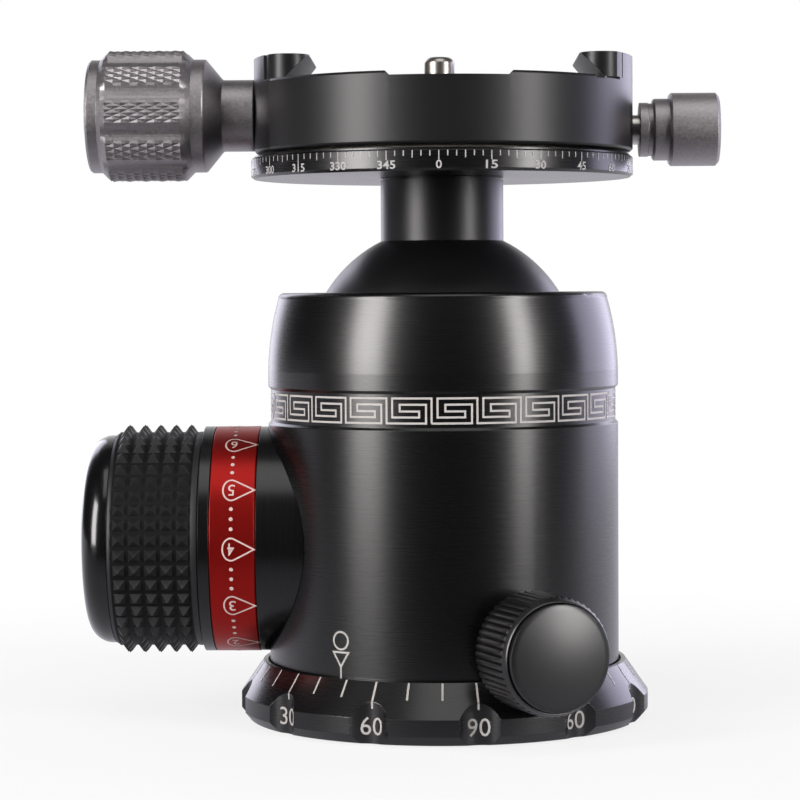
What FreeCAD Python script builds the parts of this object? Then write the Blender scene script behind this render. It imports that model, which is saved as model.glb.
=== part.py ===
import FreeCAD, Part
import math
import os

# Tripod ball head with a notched housing, one main locking knob and a panning dovetail clamp.
# Millimetres. +Z is up. The origin is the centre of the base's bottom face, on the pan axis.
# The front is towards -Y, the main knob and the clamp knob point to -X, the drop notch is at +Y.

V = FreeCAD.Vector
Y_DIR = V(0, 1, 0)
Z_DIR = V(0, 0, 1)

# Clearances
running = 0.05              # radial, a shaft or piston in its bore
slip = 0.02                 # radial, fixed pieces assembled by hand
face_gap = 0.05             # axial, between faces that turn on each other
open_gap = 0.3              # visible shadow line between moving shells

# Driving sizes of the head
ball_r = 18.0
ball_bore_gap = 0.35
housing_wall = 4.65
body_r = ball_r + ball_bore_gap + housing_wall

# Base dial
rim_r = body_r + 3.8
rim_low_z = 1.2
rim_high_z = 3.3
foot_r = rim_r - 1.03
cone_slope = 0.7            # radius lost for each millimetre of height
lip_z = 7.5
seat_recess_z = 6.4
recess_r = body_r + open_gap
scallop_count = 12
scallop_r = 3.35
scallop_depth = 1.32        # how far a scallop reaches inside the rim
scallop_first_deg = -80.5   # bearing from the -Y axis, towards +X positive

# Pan bearing and tripod thread
spigot_r = 12.0
spigot_top_z = 15.1
pan_groove_z = 11.65
pan_groove_depth = 1.2
pan_groove_half = 1.5
thread_r = 3.99             # tapped 3/8 in, measured on the crests
thread_top_z = 12.6
bush_r = 6.5
bush_flange_r = 7.6
bush_flange_z = 12.9
bush_foot_z = 0.0
washer_t = 0.5
pan_retainer_r = 14.2
pan_retainer_t = 1.5
retainer_screw_circle_r = 9.4
retainer_screw_r = 1.25
retainer_screw_head_r = 2.2
retainer_screw_count = 4

# Housing
housing_foot_z = 7.0
neck_r = 14.75
neck_lift = 1.1             # from the base lip to the underside of the neck
spindle_z = lip_z + neck_lift + neck_r
ball_lift = 4.95            # from the spindle axis to the lowest point of the ball
ball_z = spindle_z + ball_lift + ball_r
collar_rise = 9.4           # from the ball's centre to the rim of the collar
housing_top_z = ball_z + collar_rise
band_low_z = spindle_z + neck_r + 0.5
band_h = 4.9
band_depth = 0.35
collar_curve_z = ball_z - 0.7
collar_drop = 1.38          # radius lost by the curve of the collar
collar_fillet = 0.8
mouth_gap = 0.2             # spherical gap at the rim
floor_r = ball_r + 1.0      # bore for the screwed floor
floor_top_z = 16.9
floor_shoulder_z = 14.5
track_t = 1.2
seat_ring_low = 1.7         # seat ring edges above the ball's centre
seat_ring_high = 7.0
seat_ring_wall = 1.45

# Stem, scale disc and the swivel of the clamp
stem_r = 8.06
notch_r = stem_r + 0.44
drop_gap = 1.3              # disc to housing with the stem in the notch
disc_r = 25.0
disc_low_z = ball_z + body_r + drop_gap
disc_t = 2.65
disc_land_r = disc_r - 0.4
disc_land_t = 0.25
disc_edge = 0.35
stem_groove_h = 0.25
stem_spigot_r = 5.0
stem_spigot_h = 1.8
swivel_r = 9.5
swivel_h = 9.15             # boss height over the disc's underside
swivel_groove_up = 6.2      # groove height over the disc's underside
swivel_groove_half = 1.3
swivel_groove_depth = 0.9
stem_bolt_r = 3.0
stem_bolt_reach = 20.0
stem_bolt_head_r = 6.0
stem_bolt_hex = 4.0
dowel_r = 0.9
dowel_half = 1.6
dowel_circle_r = 6.6
swivel_ring_r = 20.0
swivel_ring_t = 0.4
clamp_retainer_r = 11.8
clamp_retainer_t = 1.55

# Dovetail clamp
clamp_low_z = disc_low_z + disc_t + 0.69
clamp_h = 8.96
plateau_z = clamp_low_z + clamp_h
jaw_h = 3.2                 # height of the dovetail over the plateau
jaw_top_z = plateau_z + jaw_h
fixed_lip_x = 17.65
moving_lip_x = -16.85
parting_x = 3.3 - disc_r
moving_jaw_inset = 0.45     # the moving jaw's outer arc lies inside the disc's
nose_r = 2.7
nose_y = 9.4
relief_w = 1.5
relief_depth = 0.4
channel_left_x = -6.9
channel_right_x = 8.9
channel_depth = 0.55
edge_break = 0.3

# Clamp knob and its bolt
clamp_axis_z = clamp_low_z + 5.06
clamp_bolt_r = 2.5
clamp_bolt_tip_x = 12.0 - disc_r
clamp_bolt_root_x = -disc_r - 13.0
clip_t = 0.8
clip_r = 3.8
knob_seat_x = moving_jaw_inset - disc_r + 0.2
clamp_sleeve_r = 4.68
clamp_sleeve_len = 4.2
clamp_cone_len = 2.23
clamp_flange_r = 7.39
clamp_flange_len = 1.62
clamp_grip_r = 8.62
clamp_grip_len = 12.13
clamp_end_len = 1.6
clamp_flute_count = 10
clamp_flute_w = 2.8
clamp_flute_depth = 0.6
guide_pin_r = 1.25
guide_pin_y = 6.5
guide_pin_tip_x = 10.5 - disc_r
guide_pin_seat = 1.35       # how far a guide pin is pressed into the jaw

# Swivel lock knob
lock_axis_z = disc_low_z + swivel_groove_up
lock_stud_r = 1.95
lock_shoe_len = 3.6
lock_washer = (3.53, disc_r + 0.9, disc_r + 2.0)
lock_ring = (3.44, disc_r + 2.0, disc_r + 2.6)
lock_step = (4.04, disc_r + 2.6, disc_r + 4.73)
lock_barrel = (4.78, disc_r + 4.73, disc_r + 11.2)

# Safety pin
pin_r = 1.9
pin_x = -0.2
pin_y = -18.0
pin_over_plateau = 2.0
pin_collar_r = 2.5
pin_collar_t = 0.8
pin_shoulder_depth = 3.05   # shoulder below the plateau
pin_plug_t = 1.0
spring_wire_r = 0.2
spring_turns = 4

# Main knob
neck_stand = 0.9            # how far the neck reaches past the barrel
knob_inner_x = -body_r - neck_stand
dial_len = 5.94
dial_r = 14.8
dial_wall = 1.4
trim_len = 1.39
grip_len = 11.76
grip_seat_r = 12.6
grip_valley_r = 14.05
grip_tip_r = 15.07
grip_columns = 5
grip_rows = 45
grip_pitch = 1.93
grip_hem = 0.95
grip_shoulder_r = 13.65
cap_r = 13.7
cap_len = 3.45
cap_round = 3.0
cap_plug_r = 9.4
hub_pocket_r = 9.5
hub_pocket_len = 3.8
hub_mouth_r = 9.0
hub_mouth_len = 2.7
journal_r = 3.5
spindle_r = 3.0
spindle_tip_x = -5.2
bush_wall = 1.5
bush_flange_t = 1.5
bush_nose_x = 1.4 - ball_r - ball_bore_gap
spindle_clip_x = bush_nose_x + 0.9
journal_end_x = bush_nose_x + 1.35
hub_screw_r = 2.0
hub_screw_head_r = 3.5

# Wedge and cup under the ball
wedge_deg = 30.0
wedge_top_x = -3.0
wedge_half_y = 7.0
wedge_back_x = -13.4
wedge_nose_x = 9.0
wedge_above_axis = 3.65
wedge_ramp_above_axis = 2.85
wedge_travel = 0.9
cup_gap = 0.2
cup_skirt_above_axis = 5.65
cup_floor_t = 1.7
cup_stalk_x = (-2.4, 12.0)
pad_r = ball_r - 2.0
pad_below_ball = (ball_r - 4.7, ball_r - 8.3)
cup_round_below = ball_r - 0.6

# Pan lock knob, on a radial axis
pan_lock_deg = 23.3         # bearing from the -Y axis towards +X
pan_screw_r = 2.5
pan_shoe_end = spigot_r + 4.4
pan_knob_r = 7.35
pan_knob_back = body_r + 3.4
pan_knob_len = 8.1
pan_neck_r = 3.8
pan_rib_count = 50
pan_rib_depth = 0.3
pan_rib_land = 0.55         # share of the pitch that stays at full radius
pan_face_r = 6.6
pan_face_end = pan_knob_back + 9.1
pan_dome = 0.5


def disc_between(r, low, high):
    return Part.makeCylinder(r, high - low, V(0, 0, low))


def tube_between(r, hole_r, low, high):
    return disc_between(r, low, high).cut(disc_between(hole_r, low - 1, high + 1))


def turned(points):
    """Solid turned about Z from (radius, height) points. A pair of points is an arc: its middle and its end."""
    edges = []
    here = points[0]
    for entry in list(points[1:]) + [points[0]]:
        if isinstance(entry[0], tuple):
            middle, end = entry
            arc = Part.Arc(V(here[0], 0, here[1]), V(middle[0], 0, middle[1]), V(end[0], 0, end[1]))
            edges.append(arc.toShape())
        else:
            end = entry
            if end == here:
                continue
            edges.append(Part.makeLine(V(here[0], 0, here[1]), V(end[0], 0, end[1])))
        here = end
    face = Part.Face(Part.Wire(edges))
    return face.revolve(V(0, 0, 0), Z_DIR, 360)


def prism(points, vector):
    wire = Part.makePolygon([V(*p) for p in points] + [V(*points[0])])
    return Part.Face(wire).extrude(vector)


def along_x(shape, z):
    """Lay a solid made along +Z onto the +X direction, on an axis at height z."""
    laid = shape.copy()
    laid.rotate(V(0, 0, 0), Y_DIR, 90)
    laid.translate(V(0, 0, z))
    return laid


def along_pan_lock(shape):
    """Lay a solid made along +Z onto the radial axis of the pan lock."""
    laid = along_x(shape, pan_groove_z)
    laid.rotate(V(0, 0, 0), Z_DIR, pan_lock_deg - 90)
    return laid


def around(shape, count, first_deg=0.0, centre=V(0, 0, 0)):
    copies = []
    for i in range(count):
        copy = shape.copy()
        copy.rotate(centre, Z_DIR, first_deg + 360.0 * i / count)
        copies.append(copy)
    return Part.makeCompound(copies)


def sphere_r(radius, height):
    """Radius of a horizontal section of a sphere, at a height from its centre."""
    return math.sqrt(radius * radius - height * height)


def sphere_arc(radius, low, high):
    """Arc entry for turned() from height low to height high on a sphere about the ball's centre."""
    middle = (low + high) / 2
    return ((sphere_r(radius, middle), ball_z + middle), (sphere_r(radius, high), ball_z + high))


def at_y(shape, y):
    moved = shape.copy()
    moved.translate(V(0, y, 0))
    return moved


# Base

def base_dial():
    lip_r = rim_r - cone_slope * (lip_z - rim_high_z)
    groove_root = spigot_r - pan_groove_depth
    body = turned([
        (bush_r + slip, 0),
        (foot_r, 0),
        (rim_r, rim_low_z),
        (rim_r, rim_high_z),
        (lip_r, lip_z),
        (recess_r, lip_z),
        (recess_r, seat_recess_z),
        (spigot_r, seat_recess_z),
        (spigot_r, pan_groove_z - pan_groove_half),
        (groove_root, pan_groove_z),
        (spigot_r, pan_groove_z + pan_groove_half),
        (spigot_r, spigot_top_z),
        (bush_flange_r + slip, spigot_top_z),
        (bush_flange_r + slip, bush_flange_z),
        (bush_r + slip, bush_flange_z),
    ])
    scallop = disc_between(scallop_r, -1, lip_z + 1)
    scallop.translate(V(0, -(rim_r - scallop_depth + scallop_r), 0))
    scallops = around(scallop, scallop_count, scallop_first_deg)
    holes = around(retainer_screw_hole(), retainer_screw_count, 45)
    return body.cut(scallops).cut(holes)


def retainer_screw_hole():
    hole = disc_between(retainer_screw_r + slip, bush_foot_z + 9, spigot_top_z + 1)
    hole.translate(V(retainer_screw_circle_r, 0, 0))
    return hole


def tripod_thread_bush():
    return turned([
        (thread_r, bush_foot_z),
        (bush_r, bush_foot_z),
        (bush_r, bush_flange_z),
        (bush_flange_r, bush_flange_z),
        (bush_flange_r, spigot_top_z - face_gap),
        (0, spigot_top_z - face_gap),
        (0, thread_top_z),
        (thread_r, thread_top_z),
    ])


def base_thrust_washer():
    return tube_between(floor_r - 0.5, spigot_r + open_gap, seat_recess_z, housing_foot_z)


def retainer_thrust_washer():
    low = floor_shoulder_z + face_gap
    return tube_between(pan_retainer_r, spigot_r + open_gap, low, low + washer_t)


def pan_retainer():
    top = spigot_top_z + pan_retainer_t
    plate = disc_between(pan_retainer_r, spigot_top_z, top)
    sinks = around(retainer_screw(slip), retainer_screw_count, 45)
    return plate.cut(sinks)


def retainer_screw(extra=0.0):
    """Countersunk screw, flush with the retainer; extra makes it the hole for itself."""
    top = spigot_top_z + pan_retainer_t
    shank = retainer_screw_r + extra
    head = retainer_screw_head_r + extra
    screw = turned([
        (0, top - 5.2),
        (shank, top - 5.2),
        (shank, top - (head - shank)),
        (head, top),
        (0, top),
    ])
    screw.translate(V(retainer_screw_circle_r, 0, 0))
    return screw


def pan_retainer_screws():
    return around(retainer_screw(), retainer_screw_count, 45)


# Housing

def housing_outline():
    band_high_z = band_low_z + band_h
    band_r = body_r - band_depth
    shoulder_r = body_r - collar_drop
    shoulder_z = housing_top_z - collar_fillet
    bow_r = body_r - 0.28 * collar_drop
    bow_z = collar_curve_z + 0.5 * (shoulder_z - collar_curve_z)
    turn = collar_fillet * 0.29
    inner_low = ball_z + seat_ring_low
    inner_high = ball_z + seat_ring_high
    mouth_r = ball_r + mouth_gap
    ring_r = ball_r + seat_ring_wall + running
    track_top = floor_top_z + track_t + face_gap
    return [
        (body_r - edge_break, housing_foot_z),
        (body_r, housing_foot_z + edge_break),
        (body_r, band_low_z),
        (band_r, band_low_z + band_depth),
        (band_r, band_high_z - band_depth),
        (body_r, band_high_z),
        (body_r, collar_curve_z),
        ((bow_r, bow_z), (shoulder_r, shoulder_z)),
        ((shoulder_r - turn, housing_top_z - turn), (shoulder_r - collar_fillet, housing_top_z)),
        (sphere_r(mouth_r, collar_rise), housing_top_z),
        sphere_arc(mouth_r, collar_rise, seat_ring_high),
        (ring_r, inner_high),
        (ring_r, inner_low),
        (ball_r + ball_bore_gap, inner_low),
        (ball_r + ball_bore_gap, track_top),
        (floor_r + slip, track_top),
        (floor_r + slip, housing_foot_z),
    ]


def notch_cut(r):
    """Slot that takes the stem when the ball drops to the back."""
    bottom = Part.makeCylinder(r, 2 * body_r, V(0, 0, ball_z), Y_DIR)
    slot = Part.makeBox(2 * r, 2 * body_r, body_r, V(-r, 0, ball_z))
    return bottom.fuse(slot)


def housing():
    shell = turned(housing_outline())
    bush_hole = along_x(disc_between(journal_r + bush_wall + slip, -body_r - 1, -10), spindle_z)
    pan_hole = along_pan_lock(disc_between(pan_screw_r + running, spigot_r, body_r + 1))
    return shell.cut(notch_cut(notch_r)).cut(bush_hole).cut(pan_hole)


def housing_floor():
    body = turned([
        (spigot_r + running, housing_foot_z + face_gap),
        (floor_r, housing_foot_z + face_gap),
        (floor_r, floor_top_z),
        (pan_retainer_r + 0.4, floor_top_z),
        (pan_retainer_r + 0.4, floor_shoulder_z),
        (spigot_r + running, floor_shoulder_z),
    ])
    pan_hole = along_pan_lock(disc_between(pan_screw_r + running, spigot_r - 2, body_r))
    return body.cut(pan_hole)


def wedge_track():
    """Hardened floor plate with two rails that keep the wedge straight."""
    rail_low = wedge_half_y + running
    plate = disc_between(floor_r, floor_top_z, floor_top_z + track_t)
    rails = []
    for side in (-1, 1):
        centre = side * (rail_low + 1)
        rail = Part.makeBox(24, 2, 1.9 + track_t, V(-12, centre - 1, floor_top_z))
        rails.append(rail)
    bush_room = along_x(disc_between(journal_r + bush_wall + 0.2, -floor_r, journal_end_x), spindle_z)
    return plate.fuse(rails).removeSplitter().cut(bush_room)


def ball_seat_ring():
    """Upper friction ring, open at the back where the notch is."""
    low = seat_ring_low + face_gap
    high = seat_ring_high - face_gap
    inner_r = ball_r + running
    outer_r = ball_r + seat_ring_wall
    ring = turned([
        (sphere_r(inner_r, low), ball_z + low),
        (outer_r, ball_z + low),
        (outer_r, ball_z + high),
        (sphere_r(inner_r, high), ball_z + high),
        sphere_arc(inner_r, high, low),
    ])
    return ring.cut(notch_cut(notch_r + 0.8))


def knob_neck():
    """Fixed round neck, saddled to the housing."""
    neck = along_x(disc_between(neck_r, knob_inner_x, 0), spindle_z)
    saddle = disc_between(body_r + slip, 0, housing_top_z)
    hole = along_x(disc_between(journal_r + bush_wall + slip, knob_inner_x - 1, 0), spindle_z)
    return neck.cut(saddle).cut(hole)


def spindle_bush():
    flange_r = journal_r + bush_wall + 3
    bush = turned([
        (journal_r + running, knob_inner_x - bush_flange_t),
        (flange_r, knob_inner_x - bush_flange_t),
        (flange_r, knob_inner_x),
        (journal_r + bush_wall, knob_inner_x),
        (journal_r + bush_wall, bush_nose_x),
        (journal_r + running, bush_nose_x),
    ])
    return along_x(bush, spindle_z)


# Main knob

dial_outer_x = knob_inner_x - face_gap - dial_len
trim_outer_x = dial_outer_x - trim_len
grip_outer_x = trim_outer_x - grip_len
hub_floor_x = knob_inner_x - hub_mouth_len
hub_pocket_x = grip_outer_x + hub_pocket_len


def main_knob_hub():
    seat_r = dial_r - dial_wall
    hub = turned([
        (spindle_r + slip, hub_floor_x),
        (hub_mouth_r, hub_floor_x),
        (hub_mouth_r, knob_inner_x - face_gap),
        (seat_r, knob_inner_x - face_gap),
        (seat_r, dial_outer_x),
        (dial_r, dial_outer_x),
        (dial_r, trim_outer_x),
        (grip_seat_r, trim_outer_x),
        (grip_seat_r, grip_outer_x),
        (hub_pocket_r, grip_outer_x),
        (hub_pocket_r, hub_pocket_x),
        (spindle_r + slip, hub_pocket_x),
    ])
    return along_x(hub, spindle_z)


def friction_dial_ring():
    right = knob_inner_x - face_gap
    inner_r = dial_r - dial_wall + slip
    ring = turned([
        (inner_r, dial_outer_x + slip),
        (dial_r - 0.15, dial_outer_x + slip),
        (dial_r, dial_outer_x + slip + 0.15),
        (dial_r, right - 0.15),
        (dial_r - 0.15, right),
        (inner_r, right),
    ])
    return along_x(ring, spindle_z)


def grip_ring(radius, x, count=grip_rows):
    """Corners of a regular ring of the grip, on the knob's axis."""
    ring = []
    for i in range(count):
        angle = 2 * math.pi * i / count
        ring.append(V(radius * math.cos(angle), radius * math.sin(angle), x))
    return ring


def grip_pyramids(first):
    """Skin of the grip: one flat-sided pyramid for each row and column."""
    turn = 2 * math.pi / grip_rows
    faces = []
    for column in range(grip_columns):
        low_ring = grip_ring(grip_valley_r, first - grip_pitch * (column + 1))
        high_ring = grip_ring(grip_valley_r, first - grip_pitch * column)
        tip_x = first - grip_pitch * (column + 0.5)
        for row in range(grip_rows):
            following = (row + 1) % grip_rows
            corners = [low_ring[row], low_ring[following], high_ring[following], high_ring[row]]
            angle = turn * (row + 0.5)
            tip = V(grip_tip_r * math.cos(angle), grip_tip_r * math.sin(angle), tip_x)
            for side in range(4):
                edge = [corners[side], corners[(side + 1) % 4], tip, corners[side]]
                faces.append(Part.Face(Part.makePolygon(edge)))
    return faces


def rubber_grip():
    """Moulded sleeve with rows and columns of pyramids between two plain hems."""
    inner_r = grip_seat_r + slip
    hem_r = grip_valley_r + 0.05
    right = trim_outer_x - slip
    first = right - grip_hem
    last = first - grip_columns * grip_pitch
    faces = grip_pyramids(first)
    for x, edge_x in ((first, right), (last, grip_outer_x)):
        rim = Part.Wire(Part.makeCircle(hem_r, V(0, 0, x)))
        ring = grip_ring(grip_valley_r, x)
        step = [rim, Part.makePolygon(ring + [ring[0]])]
        faces.append(Part.makeFace(step, "Part::FaceMakerBullseye"))
    hems = turned([
        (inner_r, right),
        (hem_r, right),
        (hem_r, first),
        (hem_r, last),
        ((hem_r - 0.12, grip_outer_x + 0.45), (grip_shoulder_r, grip_outer_x)),
        (inner_r, grip_outer_x),
    ])
    for face in hems.Faces:
        if face.BoundBox.ZMax > first + slip or face.BoundBox.ZMin < last - slip:
            faces.append(face)
    shell = Part.makeShell(faces)
    shell.sewShape()
    return along_x(Part.makeSolid(shell), spindle_z)


def knob_end_cap():
    right = grip_outer_x - slip
    left = right - cap_len
    turn = cap_round * 0.29
    plug_wall = 1.2
    cap = turned([
        (0, left),
        (cap_r - cap_round, left),
        ((cap_r - turn, left + turn), (cap_r, left + cap_round)),
        (cap_r, right),
        (cap_plug_r, right),
        (cap_plug_r, right + 1.4),
        (cap_plug_r - plug_wall, right + 1.4),
        (cap_plug_r - plug_wall, right - 0.8),
        (0, right - 0.8),
    ])
    return along_x(cap, spindle_z)


def main_spindle():
    clip_outer_x = spindle_clip_x - clip_t
    end_x = hub_pocket_x + 2
    groove_r = spindle_r - 0.1
    spindle = turned([
        (0, end_x),
        (spindle_r, end_x),
        (spindle_r, hub_floor_x),
        (journal_r, hub_floor_x),
        (journal_r, clip_outer_x),
        (groove_r, clip_outer_x),
        (groove_r, spindle_clip_x),
        (journal_r, spindle_clip_x),
        (journal_r, journal_end_x),
        (spindle_r, journal_end_x),
        (spindle_r, spindle_tip_x - 0.6),
        (spindle_r - 0.6, spindle_tip_x),
        (0, spindle_tip_x),
    ])
    tapped = disc_between(hub_screw_r + slip, end_x - 1, end_x + 8)
    return along_x(spindle.cut(tapped), spindle_z)


def e_clip(groove_r, outer_r, low, thickness):
    """Open retaining clip with its mouth towards -X of the turned frame."""
    ring = tube_between(outer_r, groove_r + slip, low, low + thickness)
    mouth = Part.makeBox(outer_r + 1, 1.4 * groove_r, thickness + 2, V(-outer_r - 1, -0.7 * groove_r, low - 1))
    return ring.cut(mouth)


def spindle_clip():
    low = spindle_clip_x - clip_t + slip
    return along_x(e_clip(spindle_r - 0.1, journal_r + bush_wall - 0.2, low, clip_t - 2 * slip), spindle_z)


def spindle_spring_washers():
    """Three coned washers between the bush and the hub give the knob its feel."""
    low = hub_floor_x + face_gap
    high = knob_inner_x - bush_flange_t - face_gap
    step = (high - low) / 3
    washers = []
    for i in range(3):
        base = low + i * step
        washers.append(along_x(coned_washer(base, base + step - slip, i % 2 == 0), spindle_z))
    return Part.makeCompound(washers)


def coned_washer(low, high, dished):
    inner_r = journal_r + 0.2
    outer_r = journal_r + bush_wall + 2.6
    wall = (high - low) * 0.6
    if dished:
        return turned([(inner_r, low), (outer_r, high - wall), (outer_r, high), (inner_r, low + wall)])
    return turned([(inner_r, high - wall), (outer_r, low), (outer_r, low + wall), (inner_r, high)])


def hub_screw():
    head_low = hub_pocket_x - 0.8 - 2.0
    end_x = hub_pocket_x + 2
    screw = turned([
        (0, head_low),
        (hub_screw_head_r, head_low),
        (hub_screw_head_r, head_low + 2.0),
        (hub_screw_r, head_low + 2.0),
        (hub_screw_r, end_x + 6),
        (0, end_x + 6),
    ])
    return along_x(screw.cut(hex_socket(2.5, head_low - 1, head_low + 1.4)), spindle_z)


def hub_screw_washer():
    return along_x(tube_between(4.6, hub_screw_r + 0.2, hub_pocket_x - 0.8, hub_pocket_x), spindle_z)


def hex_socket(across_flats, low, high):
    corner = across_flats / math.sqrt(3)
    points = []
    for i in range(6):
        angle = math.radians(60 * i + 30)
        points.append((corner * math.cos(angle), corner * math.sin(angle), low))
    return prism(points, V(0, 0, high - low))


# Wedge and cup

wedge_tan = math.tan(math.radians(wedge_deg))
wedge_low_z = floor_top_z + track_t + face_gap
ramp_top_z = spindle_z + wedge_ramp_above_axis


def ramp_z(x):
    """Height of the wedge's slope at x."""
    return ramp_top_z - (x - wedge_top_x) * wedge_tan


def locking_wedge():
    top = spindle_z + wedge_above_axis
    side = -wedge_half_y
    block = prism([
        (wedge_back_x, side, wedge_low_z),
        (wedge_nose_x, side, wedge_low_z),
        (wedge_nose_x, side, ramp_z(wedge_nose_x)),
        (wedge_top_x, side, ramp_top_z),
        (wedge_top_x, side, top),
        (wedge_back_x, side, top),
    ], V(0, 2 * wedge_half_y, 0))
    thread = along_x(disc_between(spindle_r + running, wedge_back_x - 1, wedge_top_x - 1), spindle_z)
    return block.cut(thread)


def ball_cup():
    """Lower cup with a stalk that rides on the wedge."""
    inner_r = ball_r + cup_gap
    outer_r = ball_r + ball_bore_gap - running
    top = -(notch_r + 0.2)
    skirt_z = spindle_z + cup_skirt_above_axis
    floor_z = ball_z - ball_r - cup_gap - cup_floor_t
    pad_low = -pad_below_ball[0] - slip
    pad_high = -pad_below_ball[1] + slip
    bowl = turned([
        (0, floor_z),
        (10.0, floor_z),
        (12.6, skirt_z),
        (outer_r, skirt_z),
        (outer_r, ball_z + top),
        (sphere_r(inner_r, top), ball_z + top),
        sphere_arc(inner_r, top, pad_high),
        (pad_r + slip, ball_z + pad_high),
        (pad_r + slip, ball_z + pad_low),
        (sphere_r(inner_r, pad_low), ball_z + pad_low),
        ((sphere_r(inner_r, -cup_round_below), ball_z - cup_round_below), (0, ball_z - inner_r)),
    ])
    side = 0.1 - wedge_half_y
    first_x, last_x = cup_stalk_x
    foot_z = wedge_low_z + wedge_travel * wedge_tan + 0.15
    foot_x = wedge_top_x + (ramp_top_z + face_gap - foot_z) / wedge_tan
    stalk = prism([
        (first_x, side, floor_z + 0.2),
        (first_x, side, ramp_z(first_x) + face_gap),
        (foot_x, side, foot_z),
        (last_x, side, foot_z),
        (last_x, side, floor_z + 0.2),
    ], V(0, -2 * side, 0))
    wedge_top = spindle_z + wedge_above_axis + wedge_travel * wedge_tan + 0.1
    reach = wedge_half_y + 0.6
    pocket = Part.makeBox(body_r + first_x, 2 * reach, 10, V(-body_r, -reach, wedge_top - 10))
    return bowl.cut(pocket).fuse(stalk).removeSplitter()


def cup_pad():
    """Low-friction ring that the ball rests on."""
    low = -pad_below_ball[0]
    high = -pad_below_ball[1]
    inner_r = ball_r + running
    return turned([
        (sphere_r(inner_r, low), ball_z + low),
        (pad_r, ball_z + low),
        (pad_r, ball_z + high),
        (sphere_r(inner_r, high), ball_z + high),
        sphere_arc(inner_r, high, low),
    ])


# Ball, stem and scale disc

def ball_and_stem():
    ball = Part.makeSphere(ball_r, V(0, 0, ball_z))
    stem = turned([
        (0, ball_z),
        (stem_r, ball_z),
        (stem_r, disc_low_z - stem_groove_h),
        (stem_r - 0.3, disc_low_z - stem_groove_h),
        (stem_r - 0.3, disc_low_z),
        (stem_spigot_r, disc_low_z),
        (stem_spigot_r, disc_low_z + stem_spigot_h),
        (0, disc_low_z + stem_spigot_h),
    ])
    tapped = disc_between(stem_bolt_r + slip, disc_low_z - stem_bolt_reach + 3, disc_low_z + 5)
    return ball.fuse(stem).removeSplitter().cut(tapped).cut(dowel_solid(slip))


def dowel_solid(extra=0.0):
    dowel = disc_between(dowel_r + extra, disc_low_z - dowel_half, disc_low_z + dowel_half)
    dowel.translate(V(0, dowel_circle_r, 0))
    return dowel


def stem_dowel():
    return dowel_solid()


def scale_disc():
    top = disc_low_z + disc_t
    boss_top = disc_low_z + swivel_h
    groove_z = disc_low_z + swivel_groove_up
    register_z = disc_low_z + stem_spigot_h + slip
    body = turned([
        (stem_spigot_r + slip, disc_low_z),
        (disc_r - disc_edge, disc_low_z),
        (disc_r, disc_low_z + disc_edge),
        (disc_r, top - 0.15),
        (disc_r - 0.15, top),
        (disc_land_r, top),
        (disc_land_r, top + disc_land_t),
        (swivel_r, top + disc_land_t),
        (swivel_r, groove_z - swivel_groove_half),
        (swivel_r - swivel_groove_depth, groove_z),
        (swivel_r, groove_z + swivel_groove_half),
        (swivel_r, boss_top),
        (stem_bolt_r + slip, boss_top),
        (stem_bolt_r + slip, register_z),
        (stem_spigot_r + slip, register_z),
    ])
    return body.cut(dowel_solid(slip)).cut(stem_bolt_solid(slip))


def stem_bolt_solid(extra=0.0):
    """Countersunk bolt through the retainer and disc into the stem; extra makes its hole."""
    top = disc_low_z + swivel_h + clamp_retainer_t
    shank = stem_bolt_r + extra
    head = stem_bolt_head_r + extra
    return turned([
        (0, disc_low_z - stem_bolt_reach + 4),
        (shank, disc_low_z - stem_bolt_reach + 4),
        (shank, top - (head - shank)),
        (head, top),
        (0, top),
    ])


def stem_bolt():
    top = disc_low_z + swivel_h + clamp_retainer_t
    return stem_bolt_solid().cut(hex_socket(stem_bolt_hex, top - 2.4, top + 1))


def clamp_retainer():
    low = disc_low_z + swivel_h
    plate = disc_between(clamp_retainer_r, low, low + clamp_retainer_t)
    return plate.cut(stem_bolt_solid(slip))


clamp_shoulder_z = disc_low_z + swivel_h - swivel_ring_t - face_gap


def retainer_slide_ring():
    return tube_between(clamp_retainer_r, swivel_r + open_gap, clamp_shoulder_z, clamp_shoulder_z + swivel_ring_t)


def disc_slide_ring():
    low = disc_low_z + disc_t + disc_land_t
    return tube_between(swivel_ring_r, swivel_r + open_gap, low, low + swivel_ring_t)


# Clamp

def jaw_block(lip_x, outer_r, side):
    """Dovetail jaw over the plateau: straight lip, bull-nosed ends, outer side on an arc."""
    nose_x = lip_x + side * nose_r
    straight = Part.makeBox(abs(side * outer_r - lip_x) + 1, 2 * nose_y, jaw_h,
                            V(min(lip_x, side * (outer_r + 1)), -nose_y, plateau_z))
    noses = []
    for end in (-nose_y, nose_y):
        nose = disc_between(nose_r, plateau_z, jaw_top_z)
        nose.translate(V(nose_x, end, 0))
        noses.append(nose)
    block = straight.fuse(noses).common(disc_between(outer_r, plateau_z, jaw_top_z))
    far = 2 * disc_r
    undercut = prism([
        (lip_x + side * jaw_h, -far, plateau_z),
        (lip_x, -far, jaw_top_z),
        (lip_x - side * jaw_h, -far, jaw_top_z),
        (lip_x - side * jaw_h, -far, plateau_z),
    ], V(0, 2 * far, 0))
    return block.cut(undercut)


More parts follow.
